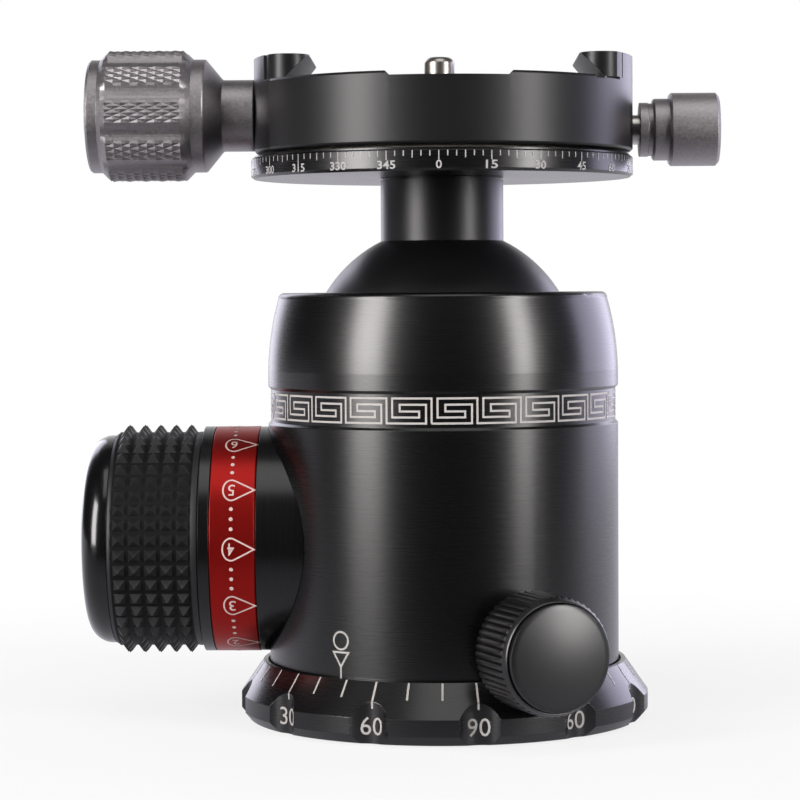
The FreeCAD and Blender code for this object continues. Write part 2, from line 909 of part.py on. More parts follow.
def clamp_body():
    disc = turned([
        (0, clamp_low_z),
        (disc_r - edge_break, clamp_low_z),
        (disc_r, clamp_low_z + edge_break),
        (disc_r, plateau_z - edge_break),
        (disc_r - edge_break, plateau_z),
        (0, plateau_z),
    ])
    ear_root = turned([
        (disc_r - 4, plateau_z - 2),
        (disc_r, plateau_z - 2),
        (disc_r, plateau_z),
        (disc_r - 4, plateau_z),
    ]).common(Part.makeBox(10, 2 * nose_y + 2, 4, V(disc_r - 7, -nose_y - 1, plateau_z - 3)))
    body = disc.fuse([ear_root, jaw_block(fixed_lip_x, disc_r, 1)]).removeSplitter()
    far = 2 * disc_r
    jaw_side = Part.makeBox(disc_r, 2 * far, 2 * clamp_h, V(parting_x - disc_r, -far, clamp_low_z - 1))
    floor_z = plateau_z - channel_depth
    channel = prism([
        (channel_left_x, -far, plateau_z + 1),
        (channel_left_x, -far, plateau_z),
        (channel_left_x + channel_depth, -far, floor_z),
        (channel_right_x - channel_depth, -far, floor_z),
        (channel_right_x, -far, plateau_z),
        (channel_right_x, -far, plateau_z + 1),
    ], V(0, 2 * far, 0))
    relief_x = fixed_lip_x + jaw_h - relief_w
    relief = Part.makeBox(relief_w, 2 * far, relief_depth, V(relief_x, -far, plateau_z - relief_depth))
    well = disc_between(clamp_retainer_r + 0.2, clamp_shoulder_z, plateau_z + 1)
    bore = disc_between(swivel_r + running, clamp_low_z - 1, plateau_z)
    cuts = [jaw_side, channel, relief, well, bore]
    cuts.append(along_x(disc_between(clamp_bolt_r + running, parting_x - 1, clamp_bolt_tip_x + 0.4), clamp_axis_z))
    for side in (-1, 1):
        guide = along_x(disc_between(guide_pin_r + running, parting_x - 1, guide_pin_tip_x + 0.5), clamp_axis_z)
        cuts.append(at_y(guide, side * guide_pin_y))
    cuts.append(along_x(disc_between(lock_stud_r + running, 0, disc_r + 1), lock_axis_z))
    shoulder_z = plateau_z - pin_shoulder_depth
    pin_hole = disc_between(pin_r + running, shoulder_z - 1, plateau_z + 1)
    pin_pocket = disc_between(pin_collar_r + running, clamp_low_z - 1, shoulder_z)
    for hole in (pin_hole, pin_pocket):
        hole.translate(V(pin_x, pin_y, 0))
        cuts.append(hole)
    return body.cut(cuts)


def moving_jaw():
    outer_r = disc_r - moving_jaw_inset
    face_x = parting_x - face_gap
    far = 2 * disc_r
    wall = turned([
        (0, clamp_low_z),
        (outer_r - edge_break, clamp_low_z),
        (outer_r, clamp_low_z + edge_break),
        (outer_r, plateau_z),
        (0, plateau_z),
    ]).cut(Part.makeBox(far, 2 * far, 2 * clamp_h, V(face_x, -far, clamp_low_z - 1)))
    jaw = jaw_block(moving_lip_x, outer_r, -1)
    lift = Part.makeBox(far, 2 * far, face_gap, V(face_x, -far, plateau_z))
    body = wall.fuse(jaw.cut(lift)).removeSplitter()
    bolt_hole = disc_between(clamp_bolt_r + running, -disc_r - 1, parting_x + 1)
    clip_pocket = disc_between(clip_r + 0.2, face_x - clip_t - 0.1, face_x + 1)
    spot = disc_between(clamp_sleeve_r + 0.6, -disc_r - 2, knob_seat_x)
    cuts = [along_x(bolt_hole, clamp_axis_z), along_x(clip_pocket, clamp_axis_z), along_x(spot, clamp_axis_z)]
    for side in (-1, 1):
        hole = along_x(disc_between(guide_pin_r + slip, face_x - guide_pin_seat, face_x + 1), clamp_axis_z)
        cuts.append(at_y(hole, side * guide_pin_y))
    return body.cut(cuts)


def jaw_guide_pins():
    low = parting_x - face_gap - guide_pin_seat
    pins = []
    for side in (-1, 1):
        pin = turned([
            (0, low),
            (guide_pin_r, low),
            (guide_pin_r, guide_pin_tip_x - 0.4),
            (guide_pin_r - 0.4, guide_pin_tip_x),
            (0, guide_pin_tip_x),
        ])
        pins.append(at_y(along_x(pin, clamp_axis_z), side * guide_pin_y))
    return Part.makeCompound(pins)


def clamp_knob():
    seat = knob_seat_x - face_gap
    cone_right = seat - clamp_sleeve_len
    cone_left = cone_right - clamp_cone_len
    flange_left = cone_left - clamp_flange_len
    grip_left = flange_left - clamp_grip_len
    end = grip_left - clamp_end_len
    slope = clamp_grip_r - clamp_flange_r
    knob = turned([
        (0, end + 0.5),
        (4.6, end + 0.5),
        (5.1, end),
        (clamp_flange_r - 0.4, end),
        (clamp_flange_r, end + 0.4),
        (clamp_flange_r, grip_left),
        (clamp_grip_r, grip_left + slope),
        (clamp_grip_r, flange_left - slope),
        (clamp_flange_r, flange_left),
        (clamp_flange_r, cone_left),
        (clamp_sleeve_r, cone_right),
        (clamp_sleeve_r, seat),
        (clamp_bolt_r + slip, seat),
        (clamp_bolt_r + slip, clamp_bolt_root_x),
        (0, clamp_bolt_root_x),
    ])
    half = clamp_flute_w / 2
    flute_r = (half * half + clamp_flute_depth ** 2) / (2 * clamp_flute_depth)
    flute = disc_between(flute_r, grip_left, flange_left)
    flute.translate(V(clamp_grip_r - clamp_flute_depth + flute_r, 0, 0))
    return along_x(knob.cut(around(flute, clamp_flute_count)), clamp_axis_z)


def clamp_bolt():
    clip_high = parting_x - face_gap
    clip_low = clip_high - clip_t
    groove_r = clamp_bolt_r - 0.5
    bolt = turned([
        (0, clamp_bolt_root_x + slip),
        (clamp_bolt_r, clamp_bolt_root_x + slip),
        (clamp_bolt_r, clip_low),
        (groove_r, clip_low),
        (groove_r, clip_high),
        (clamp_bolt_r, clip_high),
        (clamp_bolt_r, clamp_bolt_tip_x - 0.5),
        (clamp_bolt_r - 0.5, clamp_bolt_tip_x),
        (0, clamp_bolt_tip_x),
    ])
    return along_x(bolt, clamp_axis_z)


def clamp_bolt_clip():
    low = parting_x - face_gap - clip_t + slip
    return along_x(e_clip(clamp_bolt_r - 0.5, clip_r, low, clip_t - 2 * slip), clamp_axis_z)


# Swivel lock

def lock_cone(root_r, groove_depth, groove_half, shoe_r):
    """Points of a shoe tip that fills a V groove with a small gap."""
    steep = groove_half / groove_depth
    tip = root_r + 0.5
    wide = root_r + (shoe_r + face_gap) / steep
    return [(0, tip), (steep * (tip - root_r) - face_gap, tip), (shoe_r, wide)]


def swivel_lock_shoe():
    end = swivel_r + lock_shoe_len
    tip = lock_cone(swivel_r - swivel_groove_depth, swivel_groove_depth, swivel_groove_half, lock_stud_r)
    shoe = turned(tip + [(lock_stud_r, end), (0, end)])
    return along_x(shoe, lock_axis_z)


def swivel_lock_stud():
    low = swivel_r + lock_shoe_len + face_gap
    high = lock_barrel[1] + 3
    stud = turned([
        (0, low),
        (lock_stud_r - 0.4, low),
        (lock_stud_r, low + 0.4),
        (lock_stud_r, high),
        (0, high),
    ])
    return along_x(stud, lock_axis_z)


def swivel_lock_washer():
    r, low, high = lock_washer
    return along_x(tube_between(r, lock_stud_r + slip, low, high - slip), lock_axis_z)


def swivel_lock_knob():
    ring_r, ring_low, ring_high = lock_ring
    step_r, step_low, step_high = lock_step
    barrel_r, barrel_low, barrel_high = lock_barrel
    hole = barrel_low + 3 + slip
    knob = turned([
        (lock_stud_r + slip, ring_low),
        (ring_r, ring_low),
        (ring_r, ring_high),
        (step_r - 0.2, step_low),
        (step_r, step_low + 0.2),
        (step_r, step_high),
        (barrel_r - 0.3, barrel_low),
        (barrel_r, barrel_low + 0.3),
        (barrel_r, barrel_high - 0.4),
        (barrel_r - 0.4, barrel_high),
        (0, barrel_high),
        (0, hole),
        (lock_stud_r + slip, hole),
    ])
    return along_x(knob, lock_axis_z)


# Safety pin

pin_shoulder_z = plateau_z - pin_shoulder_depth
pin_collar_low_z = pin_shoulder_z - face_gap - pin_collar_t
pin_plug_top_z = clamp_low_z + pin_plug_t


def safety_pin():
    top = plateau_z + pin_over_plateau
    pin = turned([
        (0, pin_collar_low_z),
        (pin_collar_r, pin_collar_low_z),
        (pin_collar_r, pin_collar_low_z + pin_collar_t),
        (pin_r, pin_collar_low_z + pin_collar_t),
        (pin_r, top - 0.7),
        ((pin_r - 0.35, top - 0.2), (pin_r - 0.8, top)),
        (0, top),
    ])
    pin.translate(V(pin_x, pin_y, 0))
    return pin


def pin_plug():
    plug = disc_between(pin_collar_r + running - slip, clamp_low_z + slip, pin_plug_top_z)
    plug = plug.cut(Part.makeBox(6, 0.6, 0.5, V(-3, -0.3, clamp_low_z)))
    plug.translate(V(pin_x, pin_y, 0))
    return plug


def pin_spring():
    """Compression spring of square wire, wound between the plug and the pin's collar."""
    low = pin_plug_top_z + spring_wire_r + slip
    high = pin_collar_low_z - spring_wire_r - slip
    coil_r = pin_collar_r - spring_wire_r - 0.1
    helix = Part.makeHelix((high - low) / spring_turns, high - low, coil_r)
    side = spring_wire_r
    section = Part.makePolygon([
        V(coil_r - side, 0, -side),
        V(coil_r + side, 0, -side),
        V(coil_r + side, 0, side),
        V(coil_r - side, 0, side),
        V(coil_r - side, 0, -side),
    ])
    coil = Part.Wire(helix.Edges).makePipeShell([section], True, True)
    coil.translate(V(pin_x, pin_y, low))
    return coil


# Pan lock

def pan_lock_shoe():
    tip = lock_cone(spigot_r - pan_groove_depth, pan_groove_depth, pan_groove_half, pan_screw_r)
    return along_pan_lock(turned(tip + [(pan_screw_r, pan_shoe_end), (0, pan_shoe_end)]))


def pan_lock_screw():
    low = pan_shoe_end + face_gap
    high = pan_knob_back + 5
    screw = turned([
        (0, low),
        (pan_screw_r - 0.5, low),
        (pan_screw_r, low + 0.5),
        (pan_screw_r, high),
        (0, high),
    ])
    return along_pan_lock(screw)


def ribbed_bar(outer_r, depth, count, land, low, high):
    """Bar along Z with straight ribs, each a flat land between two sloping sides."""
    pitch = 2 * math.pi / count
    points = []
    for i in range(count):
        middle = pitch * i
        for angle, r in (
            (middle - pitch / 2, outer_r - depth),
            (middle - pitch * land / 2, outer_r),
            (middle + pitch * land / 2, outer_r),
        ):
            points.append((r * math.cos(angle), r * math.sin(angle), low))
    return prism(points, V(0, 0, high - low))


def pan_lock_knob():
    front = pan_knob_back + pan_knob_len
    hole = pan_knob_back + 5 + slip
    neck_low = body_r + 0.6
    neck = disc_between(pan_neck_r, neck_low, pan_knob_back + 1)
    barrel = ribbed_bar(pan_knob_r, pan_rib_depth, pan_rib_count, pan_rib_land, pan_knob_back, front)
    rim = turned([
        (0, front - 1),
        (pan_knob_r - pan_rib_depth, front - 1),
        (pan_knob_r - pan_rib_depth, front),
        (pan_face_r + 0.35, front + 0.35),
        (0, front + 0.35),
    ])
    face = disc_between(pan_face_r + 0.1, front - 1.2, front + 1)
    screw_hole = disc_between(pan_screw_r + slip, neck_low - 1, hole)
    return along_pan_lock(barrel.fuse([neck, rim]).cut([face, screw_hole]))


def pan_lock_cap():
    """Domed cap pressed into the knob's face."""
    back = pan_knob_back + pan_knob_len - 1.2 + slip
    edge = pan_face_end
    face_r = pan_face_r - 0.3
    dome_r = (face_r * face_r + pan_dome * pan_dome) / (2 * pan_dome)
    half = math.asin(face_r / dome_r) / 2
    middle = (dome_r * math.sin(half), edge + pan_dome - dome_r * (1 - math.cos(half)))
    cap = turned([
        (0, back),
        (pan_face_r, back),
        (pan_face_r, edge - 0.3),
        (face_r, edge),
        (middle, (0, edge + pan_dome)),
    ])
    return along_pan_lock(cap)


pieces = {
    "base_dial": base_dial,
    "tripod_thread_bush": tripod_thread_bush,
    "base_thrust_washer": base_thrust_washer,
    "retainer_thrust_washer": retainer_thrust_washer,
    "pan_retainer": pan_retainer,
    "pan_retainer_screws": pan_retainer_screws,
    "housing": housing,
    "housing_floor": housing_floor,
    "wedge_track": wedge_track,
    "ball_seat_ring": ball_seat_ring,
    "knob_neck": knob_neck,
    "spindle_bush": spindle_bush,
    "main_knob_hub": main_knob_hub,
    "friction_dial_ring": friction_dial_ring,
    "rubber_grip": rubber_grip,
    "knob_end_cap": knob_end_cap,
    "main_spindle": main_spindle,
    "spindle_clip": spindle_clip,
    "spindle_spring_washers": spindle_spring_washers,
    "hub_screw": hub_screw,
    "hub_screw_washer": hub_screw_washer,
    "locking_wedge": locking_wedge,
    "ball_cup": ball_cup,
    "cup_pad": cup_pad,
    "ball_and_stem": ball_and_stem,
    "stem_dowel": stem_dowel,
    "scale_disc": scale_disc,
    "stem_bolt": stem_bolt,
    "clamp_retainer": clamp_retainer,
    "retainer_slide_ring": retainer_slide_ring,
    "disc_slide_ring": disc_slide_ring,
    "clamp_body": clamp_body,
    "moving_jaw": moving_jaw,
    "jaw_guide_pins": jaw_guide_pins,
    "clamp_knob": clamp_knob,
    "clamp_bolt": clamp_bolt,
    "clamp_bolt_clip": clamp_bolt_clip,
    "swivel_lock_shoe": swivel_lock_shoe,
    "swivel_lock_stud": swivel_lock_stud,
    "swivel_lock_washer": swivel_lock_washer,
    "swivel_lock_knob": swivel_lock_knob,
    "safety_pin": safety_pin,
    "pin_plug": pin_plug,
    "pin_spring": pin_spring,
    "pan_lock_shoe": pan_lock_shoe,
    "pan_lock_screw": pan_lock_screw,
    "pan_lock_knob": pan_lock_knob,
    "pan_lock_cap": pan_lock_cap,
}

os.makedirs("parts", exist_ok=True)
for name, make in pieces.items():
    shape = make()
    shape.exportStep("parts/" + name + ".step")
    print(name, "valid" if shape.isValid() else "BROKEN", len(shape.Solids), round(shape.Volume, 2))
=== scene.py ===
import math

import bmesh
import bpy
from mathutils import Matrix, Vector


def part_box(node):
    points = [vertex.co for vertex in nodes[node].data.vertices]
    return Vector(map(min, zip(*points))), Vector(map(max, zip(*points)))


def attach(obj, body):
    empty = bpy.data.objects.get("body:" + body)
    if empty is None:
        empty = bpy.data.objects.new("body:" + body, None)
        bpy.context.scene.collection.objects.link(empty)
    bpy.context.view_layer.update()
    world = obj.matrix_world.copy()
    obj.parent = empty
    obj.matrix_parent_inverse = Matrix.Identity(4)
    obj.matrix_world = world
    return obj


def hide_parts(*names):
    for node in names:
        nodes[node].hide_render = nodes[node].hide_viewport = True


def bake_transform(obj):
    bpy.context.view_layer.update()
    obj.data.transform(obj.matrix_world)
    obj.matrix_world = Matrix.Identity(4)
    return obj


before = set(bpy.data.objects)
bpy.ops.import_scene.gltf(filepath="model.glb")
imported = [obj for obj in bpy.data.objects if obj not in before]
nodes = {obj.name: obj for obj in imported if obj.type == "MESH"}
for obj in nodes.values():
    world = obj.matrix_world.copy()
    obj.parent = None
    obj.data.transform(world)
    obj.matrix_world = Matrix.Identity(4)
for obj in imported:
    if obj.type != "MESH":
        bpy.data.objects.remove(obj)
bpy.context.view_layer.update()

mm = 0.001


# Base dial
# A turned aluminium disc, anodised satin black, that screws down on the tripod. Twelve finger
# scallops are milled into its rim. It stands still while the body pans above it.

def new_finish(name, colour, metallic, roughness, sheen=0.5):
    """A material of one metal, plastic or rubber, before its grain is added."""
    finish = bpy.data.materials.new(name)
    finish.use_nodes = True
    shader = finish.node_tree.nodes["Principled BSDF"]
    shader.inputs["Base Color"].default_value = (*colour, 1)
    shader.inputs["Metallic"].default_value = metallic
    shader.inputs["Roughness"].default_value = roughness
    shader.inputs["Specular IOR Level"].default_value = sheen
    return finish


def add_grain(finish, stretch, depth_mm, gloss_change, tone_change=0.25, edge_mm=0.12):
    """Grain that shows in the bump, the gloss and a little in the tone, on softly broken edges.

    stretch is the number of grains to a metre along X, Y and Z.
    """
    tree = finish.node_tree
    shader = tree.nodes["Principled BSDF"]
    place = tree.nodes.new("ShaderNodeTexCoord")
    mapping = tree.nodes.new("ShaderNodeMapping")
    mapping.inputs["Scale"].default_value = stretch
    grain = tree.nodes.new("ShaderNodeTexNoise")
    grain.inputs["Scale"].default_value = 1
    grain.inputs["Detail"].default_value = 3
    tree.links.new(place.outputs["Object"], mapping.inputs["Vector"])
    tree.links.new(mapping.outputs["Vector"], grain.inputs["Vector"])

    gloss = tree.nodes.new("ShaderNodeMapRange")
    rough = shader.inputs["Roughness"].default_value
    gloss.inputs["To Min"].default_value = rough - gloss_change
    gloss.inputs["To Max"].default_value = rough + gloss_change
    tree.links.new(grain.outputs["Fac"], gloss.inputs["Value"])
    tree.links.new(gloss.outputs["Result"], shader.inputs["Roughness"])

    colour = shader.inputs["Base Color"].default_value[:3]
    tone = tree.nodes.new("ShaderNodeValToRGB")
    tone.color_ramp.elements[0].color = (*[c * (1 - tone_change) for c in colour], 1)
    tone.color_ramp.elements[1].color = (*[c * (1 + tone_change) for c in colour], 1)
    tree.links.new(grain.outputs["Fac"], tone.inputs["Fac"])
    tree.links.new(tone.outputs["Color"], shader.inputs["Base Color"])

    edge = tree.nodes.new("ShaderNodeBevel")
    edge.samples = 4
    edge.inputs["Radius"].default_value = edge_mm * mm
    bump = tree.nodes.new("ShaderNodeBump")
    bump.inputs["Strength"].default_value = 1
    bump.inputs["Distance"].default_value = depth_mm * mm
    tree.links.new(grain.outputs["Fac"], bump.inputs["Height"])
    tree.links.new(edge.outputs["Normal"], bump.inputs["Normal"])
    tree.links.new(bump.outputs["Normal"], shader.inputs["Normal"])


def dress(finish, *names):
    """Give CAD nodes their finish. Their meshes stay as they are."""
    for name in names:
        node = nodes[name]
        node.data.materials.clear()
        node.data.materials.append(finish)


anodised_black = (0.0017, 0.0017, 0.002)
around_z = (90, 90, 15000)
satin_turned = new_finish("satin black, turned about the pan axis", anodised_black, metallic=0.0,
                          roughness=0.27, sheen=0.7)
add_grain(satin_turned, around_z, depth_mm=0.0003, gloss_change=0.02, tone_change=0.1)
dress(satin_turned, "base_dial")


# Degree scale of the base
# Thin white ink just above the metal: a tick every ten degrees down the cone, longer ones every
# thirty, and numbers on the walls of the scallops, counting 0-30-60-90-60-30 twice around.

rim_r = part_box("base_dial")[1].x / mm
rim_high_z = 3.3
cone_slope = 0.7
lip_z = 7.45
scallop_r = 3.35
scallop_bite = 1.32
scallop_centre_r = rim_r - scallop_bite + scallop_r
scallop_top_z = rim_high_z + (rim_r - scallop_centre_r + scallop_r) / cone_slope
first_bearing = -80.5
tick_count = 36
ticks_to_long = 3
base_numbers = (0, 30, 60, 90, 60, 30)
ink_lift = 0.025
ink_grid = 0.5
ink_halvings = 3
ink_grain = (9000, 9000, 9000)
tick_w = 0.26
short_tick_z = 5.5
long_tick_z = 4.35
long_tick_gap = 0.05
base_numeral_h = 2.25
base_numeral_w = 1.4
base_numeral_z = 2.2
digit_gap = 0.13
same_point = 1e-6
least_mitre = 0.3

ink = new_finish("warm white ink", (0.44, 0.42, 0.4), metallic=0.0, roughness=0.55)
add_grain(ink, ink_grain, depth_mm=0.002, gloss_change=0.05, tone_change=0.08)


def finished_piece(name, shape, *finishes):
    """Turn a bmesh into an object with its finishes, and free the bmesh."""
    mesh = bpy.data.meshes.new(name)
    shape.to_mesh(mesh)
    shape.free()
    for finish in finishes:
        mesh.materials.append(finish)
    piece = bpy.data.objects.new(name, mesh)
    bpy.context.scene.collection.objects.link(piece)
    return piece


def print_on(name, marks, body, finish):
    """One piece of ink on a body. A mark is a flat mesh in millimetres and the place that wraps it."""
    sheet = bmesh.new()
    for mesh, place in marks:
        start = len(sheet.verts)
        sheet.from_mesh(mesh)
        bpy.data.meshes.remove(mesh)
        sheet.verts.ensure_lookup_table()
        fresh = sheet.verts[start:]
        for _ in range(ink_halvings):
            long_edges = {e for v in fresh for e in v.link_edges if e.calc_length() > ink_grid}
            if not long_edges:
                break
            bmesh.ops.subdivide_edges(sheet, edges=list(long_edges), cuts=1)
            sheet.verts.ensure_lookup_table()
            fresh = sheet.verts[start:]
            bmesh.ops.triangulate(sheet, faces=list({f for v in fresh for f in v.link_faces}))
        for vertex in fresh:
            vertex.co = Vector(place(vertex.co.x, vertex.co.y)) * mm
    piece = finished_piece(name, sheet, finish)
    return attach(piece, body)


def ribbons(lines, width):
    """Flat mesh of strokes. Each line is a list of (u, v) points, closed where its ends meet."""
    flat = bmesh.new()
    for line in lines:
        points = [Vector(p) for p in line]
        closed = (points[0] - points[-1]).length < same_point
        if closed:
            points.pop()
        count = len(points)
        sides = []
        for i, point in enumerate(points):
            before = points[i - 1] if closed or i else None
            after = points[(i + 1) % count] if closed or i < count - 1 else None
            ways = [(b - a).normalized() for a, b in ((before, point), (point, after)) if a and b]
            normals = [Vector((-way.y, way.x)) for way in ways]
            mitre = sum(normals, Vector((0, 0))).normalized()
            half_w = width / 2 / max(mitre.dot(normals[0]), least_mitre)
            sides.append([flat.verts.new((*(point + mitre * side * half_w), 0)) for side in (-1, 1)])
        for i in range(count if closed else count - 1):
            a, b = sides[i], sides[(i + 1) % count]
            flat.faces.new((a[0], b[0], b[1], a[1]))
    mesh = bpy.data.meshes.new("strokes")
    flat.to_mesh(mesh)
    flat.free()
    return mesh


def numeral(text, height, digit_width, weight=0.0, upside_down=False):
    """Flat mesh of a number, centred on its own middle."""
    letters = bpy.data.curves.new(text, "FONT")
    letters.body = text
    letters.offset = weight
    letters.resolution_u = 3
    holder = bpy.data.objects.new(text, letters)
    bpy.context.scene.collection.objects.link(holder)
    bpy.context.view_layer.update()
    mesh = bpy.data.meshes.new_from_object(holder.evaluated_get(bpy.context.evaluated_depsgraph_get()))
    bpy.data.objects.remove(holder)
    bpy.data.curves.remove(letters)
    corners = [v.co for v in mesh.vertices]
    low = Vector([min(c[k] for c in corners) for k in range(3)])
    high = Vector([max(c[k] for c in corners) for k in range(3)])
    wanted_w = digit_width * (len(text) * (1 + digit_gap) - digit_gap)
    turn = -1 if upside_down else 1
    shrink = Matrix.Diagonal((turn * wanted_w / (high.x - low.x), turn * height / (high.y - low.y), 1, 1))
    mesh.transform(shrink @ Matrix.Translation(-(low + high) / 2))
    return mesh


def on_base_cone(bearing):
    def place(u, z):
        r = rim_r - cone_slope * (z - rim_high_z) + ink_lift
        angle = math.radians(bearing) + u / r
        return r * math.sin(angle), -r * math.cos(angle), z + ink_lift * cone_slope
    return place


def in_scallop(bearing, height):
    def place(u, v):
        wall_r = scallop_r - ink_lift
        out = scallop_centre_r - wall_r * math.cos(u / scallop_r)
        side = wall_r * math.sin(u / scallop_r)
        angle = math.radians(bearing)
        x = out * math.sin(angle) + side * math.cos(angle)
        y = side * math.sin(angle) - out * math.cos(angle)
        return x, y, height + v
    return place


base_marks = []
for step in range(tick_count):
    bearing = first_bearing + 360 / tick_count * step
    is_long = step % ticks_to_long == 0
    foot_z = scallop_top_z + long_tick_gap if is_long else short_tick_z
    tick = ribbons([[(0, foot_z), (0, lip_z)]], tick_w)
    base_marks.append((tick, on_base_cone(bearing)))
    if is_long:
        number = base_numbers[step // ticks_to_long % len(base_numbers)]
        tail = ribbons([[(0, long_tick_z), (0, scallop_top_z)]], tick_w)
        base_marks.append((tail, in_scallop(bearing, 0)))
        mark = numeral(str(number), base_numeral_h, base_numeral_w)
        base_marks.append((mark, in_scallop(bearing, base_numeral_z)))
print_on("base_degree_scale", base_marks, "base", ink)


# Tripod thread
# A flanged steel bush pressed up into the base from above. Its coarse thread takes the tripod's
# screw; the ridges are laid into the tapped bore as one coil.

bright_steel = new_finish("turned steel", (0.5, 0.49, 0.47), metallic=1.0, roughness=0.3)
add_grain(bright_steel, around_z, depth_mm=0.0015, gloss_change=0.06)
dress(bright_steel, "tripod_thread_bush")

thread_r = 3.985
thread_depth = 0.35
inch = 25.4
threads_per_inch = 16
thread_pitch = inch / threads_per_inch
thread_low_z = 0.35
thread_turns = 7
thread_steps = 40
ridge_profile = [(thread_r, 0.1), (thread_r - thread_depth, 0.5), (thread_r, 0.9)]

ridges = bmesh.new()
earlier = None
for i in range(thread_turns * thread_steps + 1):
    angle = 2 * math.pi * i / thread_steps
    height = thread_low_z + thread_pitch * i / thread_steps
    corners = []
    for r, rise in ridge_profile:
        point = Vector((r * math.cos(angle), r * math.sin(angle), height + rise * thread_pitch))
        corners.append(ridges.verts.new(point * mm))
    if earlier:
        for a, b in ((0, 1), (1, 2)):
            ridges.faces.new((earlier[a], earlier[b], corners[b], corners[a]))
    earlier = corners
ridge = finished_piece("tripod_thread_ridges", ridges, bright_steel)
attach(ridge, "base")


# Pan bearing
# Two plastic washers, a steel retainer and its four countersunk screws keep the body turning
# on the base's spigot without play. The floor is an aluminium ring screwed into the body.

slide_plastic = new_finish("slide washer plastic", (0.62, 0.58, 0.5), metallic=0.0, roughness=0.45)
add_grain(slide_plastic, (3000, 3000, 3000), depth_mm=0.002, gloss_change=0.08, tone_change=0.1)
dress(slide_plastic, "base_thrust_washer", "retainer_thrust_washer")
dress(bright_steel, "pan_retainer", "pan_retainer_screws")
dress(satin_turned, "housing_floor")


# Body
# One aluminium barrel, turned and anodised satin black, with a shallow band cut around it, a
# collar that curves in to the ball, and a notch at the back for the stem.

dress(satin_turned, "housing")


# Ornament band
# A key pattern in white ink, twenty-five units run round the recessed band of the body. Each
# unit is one continuous line that winds in and out again. The notch at the back cuts it.

band_depth = 0.35
band_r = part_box("housing")[1].x / mm - band_depth
key_low_z = 39.4
key_high_z = 42.75
key_count = 25
key_first_bearing = -3.5
notch_r = 8.55
notch_z = 46.3
key_stroke = 0.25
key_path = [(0, 1), (0.88, 1), (0.88, 0.25), (0.30, 0.25), (0.30, 0.52), (0.73, 0.52), (0.73, 0.76),
            (0.13, 0.76), (0.13, 0), (1, 0)]


def on_barrel(radius, bearing):
    def place(u, z):
        r = radius + ink_lift
        angle = math.radians(bearing) + u / radius
        return r * math.sin(angle), -r * math.cos(angle), z
    return place


key_width = 2 * math.pi * band_r / key_count
key_high = key_high_z - key_stroke / 2
key_low = key_low_z + key_stroke / 2
key_line = []
for unit in range(key_count):
    for across, down in key_path:
        key_line.append(((unit + across) * key_width, key_high - down * (key_high - key_low)))
key_line.append((key_count * key_width, key_low))
key_marks = [(ribbons([key_line], key_stroke), on_barrel(band_r, key_first_bearing))]
pattern = print_on("key_pattern", key_marks, "housing", ink)

trimmed = bmesh.new()
trimmed.from_mesh(pattern.data)
rear = [v for v in trimmed.verts if v.co.y > 0]
inside = {v for v in rear if math.hypot(v.co.x, v.co.z - notch_z * mm) < notch_r * mm}
bmesh.ops.delete(trimmed, geom=[f for f in trimmed.faces if inside.issuperset(f.verts)], context="FACES")
for vertex in trimmed.verts:
    if vertex in inside:
        side, rise = vertex.co.x, vertex.co.z - notch_z * mm
        stretch = notch_r * mm / math.hypot(side, rise)
        vertex.co.x, vertex.co.z = side * stretch, notch_z * mm + rise * stretch
        vertex.co.y = math.sqrt(((band_r + ink_lift) * mm) ** 2 - vertex.co.x ** 2)
trimmed.to_mesh(pattern.data)
trimmed.free()


# Index mark
# A ring over a pointed arrow, in white ink near the foot of the body. It reads the degree
# scale of the base as the body pans.

body_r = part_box("housing")[1].x / mm
index_bearing = -34.2
index_ring_z = 12.17
index_ring_r = 1.1
arrow_top_z = 10.7
arrow_tip_z = 8.9
arrow_half = 1.15
arrow_stem_z = 7.35
index_stroke = 0.25
ring_steps = 40

ring_line = []
for i in range(ring_steps + 1):
    angle = 2 * math.pi * i / ring_steps
    ring_line.append((index_ring_r * math.cos(angle), index_ring_z + index_ring_r * math.sin(angle)))
arrow = [(0, arrow_tip_z), (arrow_half, arrow_top_z), (-arrow_half, arrow_top_z), (0, arrow_tip_z)]
stem = [(0, arrow_tip_z), (0, arrow_stem_z)]
index_marks = [(ribbons([ring_line, arrow, stem], index_stroke), on_barrel(body_r, index_bearing))]
print_on("index_mark", index_marks, "housing", ink)


# Knob neck
# A round aluminium neck, saddled to the barrel and anodised with it. A bronze bush inside it
# carries the spindle.

around_x = (15000, 90, 90)
satin_neck = new_finish("satin black, turned about the knob axis", anodised_black, metallic=0.0,
                        roughness=0.26, sheen=0.6)
add_grain(satin_neck, around_x, depth_mm=0.0005, gloss_change=0.05)
bronze = new_finish("bearing bronze", (0.55, 0.32, 0.13), metallic=1.0, roughness=0.38)
add_grain(bronze, around_x, depth_mm=0.0016, gloss_change=0.06)
dress(satin_neck, "knob_neck")
dress(bronze, "spindle_bush")


# Main knob
# A black aluminium hub carries a red anodised ring, the rubber grip and a glossy cap that hides
# its screw. A steel spindle runs from it into the body.

dress(satin_neck, "main_knob_hub")
red_anodised = new_finish("red anodised ring", (0.33, 0.008, 0.006), metallic=0.8, roughness=0.34)
add_grain(red_anodised, (7000, 7000, 7000), depth_mm=0.002, gloss_change=0.06, tone_change=0.3)
dress(red_anodised, "friction_dial_ring")

gloss_black = new_finish("glossy black cap", (0.0025, 0.0025, 0.003), metallic=0.0, roughness=0.2)
add_grain(gloss_black, (1200, 1200, 1200), depth_mm=0.0006, gloss_change=0.03, tone_change=0.1)
gloss_black.node_tree.nodes["Principled BSDF"].inputs["Coat Weight"].default_value = 0.3
dress(gloss_black, "knob_end_cap")

